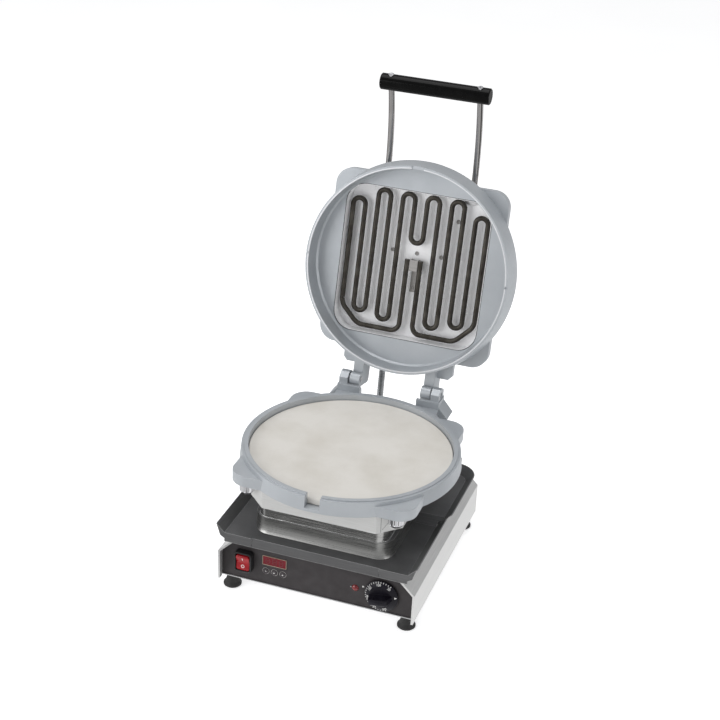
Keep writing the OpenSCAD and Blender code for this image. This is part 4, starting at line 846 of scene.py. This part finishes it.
def front_frame(name, half_w, half_h, radius, wall, middle, back, front, soft):
    """A frame that stands out of the panel: outer side, rounded front edge and inner side."""
    inner_radius = max(radius - wall, 0.3 * MM)
    outer = [(0, back), (0, front + soft), (soft * 0.3, front + soft * 0.3), (soft, front)]
    layers = [upright(rounded(half_w - inset, half_h - inset, max(radius - inset, 0.2 * MM)), middle, y)
              for inset, y in outer]
    inner = [(wall - soft * 0.5, front), (wall, front + soft * 0.5), (wall, back)]
    layers += [upright(rounded(half_w - inset, half_h - inset, inner_radius), middle, y)
               for inset, y in inner]
    return loft(name, layers, closed=True)


def add_knob():
    """The knob: a disc with a sloping rim and a narrow grip bar, turned a little."""
    low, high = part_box("thermostat_knob")
    middle = ((low.x + high.x) / 2, (low.z + high.z) / 2)
    radius, back = (high.x - low.x) / 2, high.y

    def circle(r, out, sides=96):
        return [(middle[0] + r * math.cos(2 * math.pi * k / sides), back - out,
                 middle[1] + r * math.sin(2 * math.pi * k / sides)) for k in range(sides)]

    disc = loft("disc", [circle(radius - 1 * MM, 0), circle(radius, 1 * MM), circle(radius, KNOB_EDGE_T),
                         circle(radius - 0.5 * MM, KNOB_EDGE_T + 0.55 * MM),
                         circle(radius * KNOB_SHOULDER, KNOB_DISC_T - 0.2 * MM),
                         circle(radius * KNOB_FACE, KNOB_DISC_T)])
    bar = loft("bar", [upright(rounded(half_l * MM, half_w * MM, KNOB_BAR_CORNER), middle, back - out * MM,
                               KNOB_BAR_TURN)
                       for half_l, half_w, out in KNOB_BAR_STEPS])
    TREES["thermostat_knob"] = surface(disc)
    mesh = joined("knob_and_bar", [disc, bar])
    made = piece("knob_and_bar", mesh, MATERIALS["knob_plastic"], "knob")
    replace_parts(made, "thermostat_knob")


def add_switch():
    """The switch: a rounded black collar and a rounded red rocker with a dished face."""
    middle = (centre("switch_collar").x, centre("switch_collar").z)
    panel_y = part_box("front_panel")[0].y
    low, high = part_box("switch_collar")
    front = front_frame("collar", COLLAR_HALF_W, COLLAR_HALF_H, COLLAR_R, COLLAR_WALL, middle, panel_y, low.y,
                        COLLAR_EDGE)
    body = loft("body", [upright(rounded(COLLAR_BODY_HALF_W, COLLAR_BODY_HALF_H, 1 * MM), middle, y)
                         for y in (panel_y + 0.1 * MM, high.y)])
    mesh = joined("rounded_collar", [front, body])
    collar = piece("rounded_collar", mesh, MATERIALS["black_plastic"], "base")
    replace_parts(collar, "switch_collar")

    corner, soft = ROCKER_CORNER, ROCKER_EDGE
    pivot = Vector((middle[0], panel_y - ROCKER_PIVOT_OUT, middle[1]))
    tilt = Matrix.Rotation(ROCKER_TILT, 4, "X")
    layers, count = [], 28
    for step in range(count + 1):
        z = ROCKER_HALF_H * math.sin(math.pi * (step / count - 0.5))
        over = max(abs(z) - (ROCKER_HALF_H - corner), 0.0)
        w = ROCKER_HALF_W - corner + math.sqrt(max(corner ** 2 - over ** 2, (0.12 * corner) ** 2))
        y = (-ROCKER_FACE - ROCKER_DISH * min(abs(z) / ROCKER_DISH_HALF, 1.0) ** 1.1
             + ROCKER_CORNER_FALL * (over / corner) ** 3)
        section = [(-w, 3 * MM), (-w, y + soft), (-w + soft * 0.3, y + soft * 0.3), (-w + soft, y),
                   (w - soft, y), (w - soft * 0.3, y + soft * 0.3), (w, y + soft), (w, 3 * MM)]
        layers.append([pivot + tilt @ Vector((u, v, z)) for u, v in section])
    mesh = loft("rounded_rocker", layers)
    rocker = piece("rounded_rocker", mesh, MATERIALS["red_plastic"], "rocker")
    TREES["rocker"] = surface(rocker.data)
    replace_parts(rocker, "rocker")


def add_display():
    """The display: a thin frame round the red window, a little smaller than their nodes."""
    at = centre("display_window")
    middle = (at.x, at.z + DISPLAY_RISE)
    (frame_low, frame_high), (low, high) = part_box("display_frame"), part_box("display_window")
    rim = front_frame("display_rim", DISPLAY_RIM_HALF_W, DISPLAY_RIM_HALF_H, 0.8 * MM, DISPLAY_RIM_WALL,
                      middle, frame_high.y, frame_low.y, 0.3 * MM)
    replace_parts(piece("display_rim", rim, TAN_EDGE, "base"), "display_frame")
    outline = rounded(DISPLAY_PANE_HALF_W, DISPLAY_PANE_HALF_H, 0.4 * MM)
    pane = loft("display_pane", [upright(outline, middle, y) for y in (high.y, low.y)])
    TREES["display_window"] = surface(pane)
    made = piece("display_pane", pane, MATERIALS["display_red"], "base")
    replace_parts(made, "display_window")


def add_neck():
    """The steel neck round the posts, and the bright sheet that sheathes the tray's pedestal."""
    low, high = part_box("spacer_posts")
    middle = ((low.x + high.x) / 2, (low.y + high.y) / 2)
    half_y = (high.y - low.y) / 2

    def band(out, z):
        return level_at(rounded(NECK_X + out * MM, half_y + out * MM, NECK_R + out * MM, 10), middle, z)

    bottom, top = low.z + 0.02 * MM, high.z - 0.02 * MM
    neck = loft("neck", [band(0.05, bottom), band(0.9, bottom), band(0.9, bottom + 0.9 * MM),
                         band(0.45, bottom + 1.0 * MM), band(0.45, top), band(0.05, top)], closed=True)
    piece("neck", neck, NECK_STEEL, "base")

    foot, count = PEDESTAL_FOOT, 16
    layers = []
    for u in [k / count for k in range(count + 1)]:
        out = 0.3 * MM + 0.8 * MM * (1 - u) ** 4
        layers.append(level_at(rounded(PEDESTAL_X + out, PEDESTAL_Y + out, PEDESTAL_R + out, 14), middle,
                               foot + 0.05 * MM + u * (low.z - foot)))
    inner = [level_at(rounded(PEDESTAL_X + 0.1 * MM, PEDESTAL_Y + 0.1 * MM, PEDESTAL_R, 14), middle, z)
             for z in (low.z + 0.05 * MM, foot + 0.05 * MM)]
    sheath = loft("pedestal_sheath", layers + inner, closed=True)
    piece("pedestal_sheath", sheath, SHEATH_STEEL, "base")


def on_lid(points):
    """Points of the shut lid, round the stone's middle, taken to the open lid."""
    turned, middle = opened(), centre("baking_stone")
    return [turned @ Vector((middle.x + x, middle.y + y, z)) for x, y, z in points]


def lid_block(name, x0, x1, y0, y1, z0, z1):
    """A small plate on the lid with slightly rounded corners."""
    middle = ((x0 + x1) / 2, (y0 + y1) / 2)
    outline = rounded((x1 - x0) / 2, (y1 - y0) / 2, 0.5 * MM, 3)
    return loft(name, [on_lid(level_at(outline, middle, z)) for z in (z0, z1)])


def add_lid_details():
    """The machined rim, the tabs, painted shade for their slots and the pocket's gap, and the bracket's
    tongue.
    """
    near, far = (RIM_IN + out for out in RIM_BAND)
    edges = [angle for notch in RIM_NOTCHES for angle in notch]
    arcs = [(edges[1], edges[2]), (edges[3], edges[4]), (edges[5], edges[0] + 360)]
    for number, (start, end) in enumerate(arcs):
        count = max(8, round((end - start) / 2))
        layers = []
        for step in range(count + 1):
            turn = math.radians(start + (end - start) * step / count)
            section = ((near, RIM_Z + 0.3 * MM), (near, RIM_Z - 0.1 * MM), (far, RIM_Z - 0.1 * MM),
                       (far, RIM_Z + 0.3 * MM))
            layers.append(on_lid([(r * math.cos(turn), r * math.sin(turn), z) for r, z in section]))
        piece(f"machined_rim_{number + 1}", loft("machined_rim", layers), MACHINED, "lid")

    # A near-black ring at the pocket's edge: painted shade of the gap there
    edge = [on_lid(level_at(rounded(half, half, POCKET_R), (0, -POCKET_AHEAD), RIM_POCKET_Z))
            for half in (POCKET_HALF - 0.3 * MM, POCKET_HALF + 0.5 * MM)]
    flat = bpy.data.meshes.new("pocket_gap_shade")
    count = len(edge[0])
    flat.from_pydata(edge[0] + edge[1], [], [(k, (k + 1) % count, (k + 1) % count + count, k + count)
                                             for k in range(count)])
    piece("pocket_gap_shade", flat, SLIT_AND_GAP_SHADE, "lid")

    tabs = []
    for number, (x0, x1) in enumerate(TAB_SPANS):
        tabs.append(lid_block("tab", x0 * MM, x1 * MM, POCKET_FRONT, POCKET_FRONT + TAB_L,
                              REFLECTOR_Z - 4 * MM, REFLECTOR_Z - 3.2 * MM))
        # A near-black block at each tab: painted shade of the slot that the tab goes through
        slot = lid_block("slot", (x0 - 2) * MM, (x1 + 2) * MM, POCKET_FRONT - 0.9 * MM, POCKET_FRONT,
                         REFLECTOR_Z - 6 * MM, REFLECTOR_Z - 2.2 * MM)
        piece(f"pocket_slot_shade_{number + 1}", slot, SLIT_AND_GAP_SHADE, "lid")
    made = piece("heater_tabs", joined("heater_tabs", tabs), MATERIALS["zinc_steel"], "lid")
    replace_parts(made, "heater_clips")

    tongue = lid_block("tongue", -TONGUE_HALF_W, TONGUE_HALF_W, TONGUE_NEAR, TONGUE_FAR,
                       REFLECTOR_Z - 1.2 * MM, REFLECTOR_Z - 0.1 * MM)
    piece("bracket_tongue", tongue, DULL_ZINC, "lid")


def add_seams():
    """Seams of the lower cover's corner and the tray's front flange, and cheeks in the tray's sides."""
    def strip(name, node, a, b, width, material):
        start, end = Vector(a) * MM, Vector(b) * MM
        across = Vector((end.y - start.y, start.x - end.x)).normalized() * width * MM / 2
        mesh = polygons(name, [[tuple(start - across), tuple(end - across), tuple(end + across),
                                tuple(start + across)]])
        front_mark(name, mesh, node, (0, 0), material, "base")

    strip("cover_seam", "lower_cover", (94.5, 158), (94.5, 189.5), 0.5, SEAM)
    strip("cover_fold", "lower_cover", (96, 162), (109, 181), 0.5, SEAM)
    middle = centre("baking_stone")
    for number, side in SIDES:
        cheek = [[(side * x * MM, middle.y + y * MM, z * MM) for x, z in CHEEK_CORNERS] for y in (-0.4, 0.4)]
        piece(f"step_cheek_{number}", loft("cheek", cheek), MATERIALS["tray_sheet"], "base")
    for number, side in SIDES:
        x = side * 100.0
        strip(f"flange_seam_{number}", "drip_tray", (x, 92.5), (x, 106), 0.5, SLIT_AND_GAP_SHADE)


# ---- the conduit ----

def add_conduit():
    """The conduit as a wound metal strip on a curve from the casing's gland to the lid, in place of the CAD
    conduit.
    """
    foot = Vector((centre("conduit_gland").x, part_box("conduit_gland")[1].y, centre("conduit_gland").z))
    turned = opened()
    away = (turned.to_3x3() @ Vector((0, 1, 0))).normalized()
    top = turned @ Vector((foot.x, stone_top().y + CONDUIT_LID_END[0], CONDUIT_LID_END[1]))
    pulls = [foot, foot + Vector((0, CONDUIT_FOOT_PULL, 0)), top + away * CONDUIT_TOP_PULL, top]

    def along(t):
        s = 1 - t
        return s ** 3 * pulls[0] + 3 * s * s * t * pulls[1] + 3 * s * t * t * pulls[2] + t ** 3 * pulls[3]

    def slope(t):
        s = 1 - t
        return (3 * s * s * (pulls[1] - pulls[0]) + 6 * s * t * (pulls[2] - pulls[1])
                + 3 * t * t * (pulls[3] - pulls[2])).normalized()

    steps, sides = 420, 20
    line = [along(i / steps) for i in range(steps + 1)]
    rings, travelled = [], 0.0
    for i, point in enumerate(line):
        travelled += (point - line[i - 1]).length if i else 0.0
        across = Vector((1, 0, 0))
        out = slope(i / steps).cross(across)
        made = []
        for k in range(sides):
            turn = k / sides
            wave = 0.5 + 0.5 * math.cos(2 * math.pi * (travelled / CONDUIT_PITCH - turn))
            radius = CONDUIT_D / 2 - CONDUIT_RIB_H * (1 - wave ** 0.6)
            angle = 2 * math.pi * turn
            made.append(point + radius * (math.cos(angle) * across + math.sin(angle) * out))
        rings.append(made)
    mesh = loft("ribbed_conduit", rings, sharp=math.pi)
    conduit = bpy.data.objects.new("ribbed_conduit", mesh)
    bpy.context.scene.collection.objects.link(conduit)
    mesh.materials.append(MATERIALS["conduit_steel"])
    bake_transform(conduit)
    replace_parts(conduit, "power_conduit")


add_camera()
add_world()
add_floor()
add_softbox("key", (-1.9, -1.9, 1.2), (0, 0, 0.2), 2.2, 1.8, 36)
add_softbox("fill", (2.1, -0.7, 0.8), (0, 0, 0.25), 1.2, 1.4, 8)
add_softbox("top", (-0.2, 0.4, 2.2), (0, -0.05, 0.2), 1.6, 1.2, 18)
dress_nodes()
add_knob()
add_switch()
add_display()
add_neck()
add_lid_details()
add_seams()
add_dial()
add_panel_marks()
add_rocker_marks()
add_digits()
add_conduit()

scene = bpy.context.scene
scene.view_settings.view_transform = "Standard"
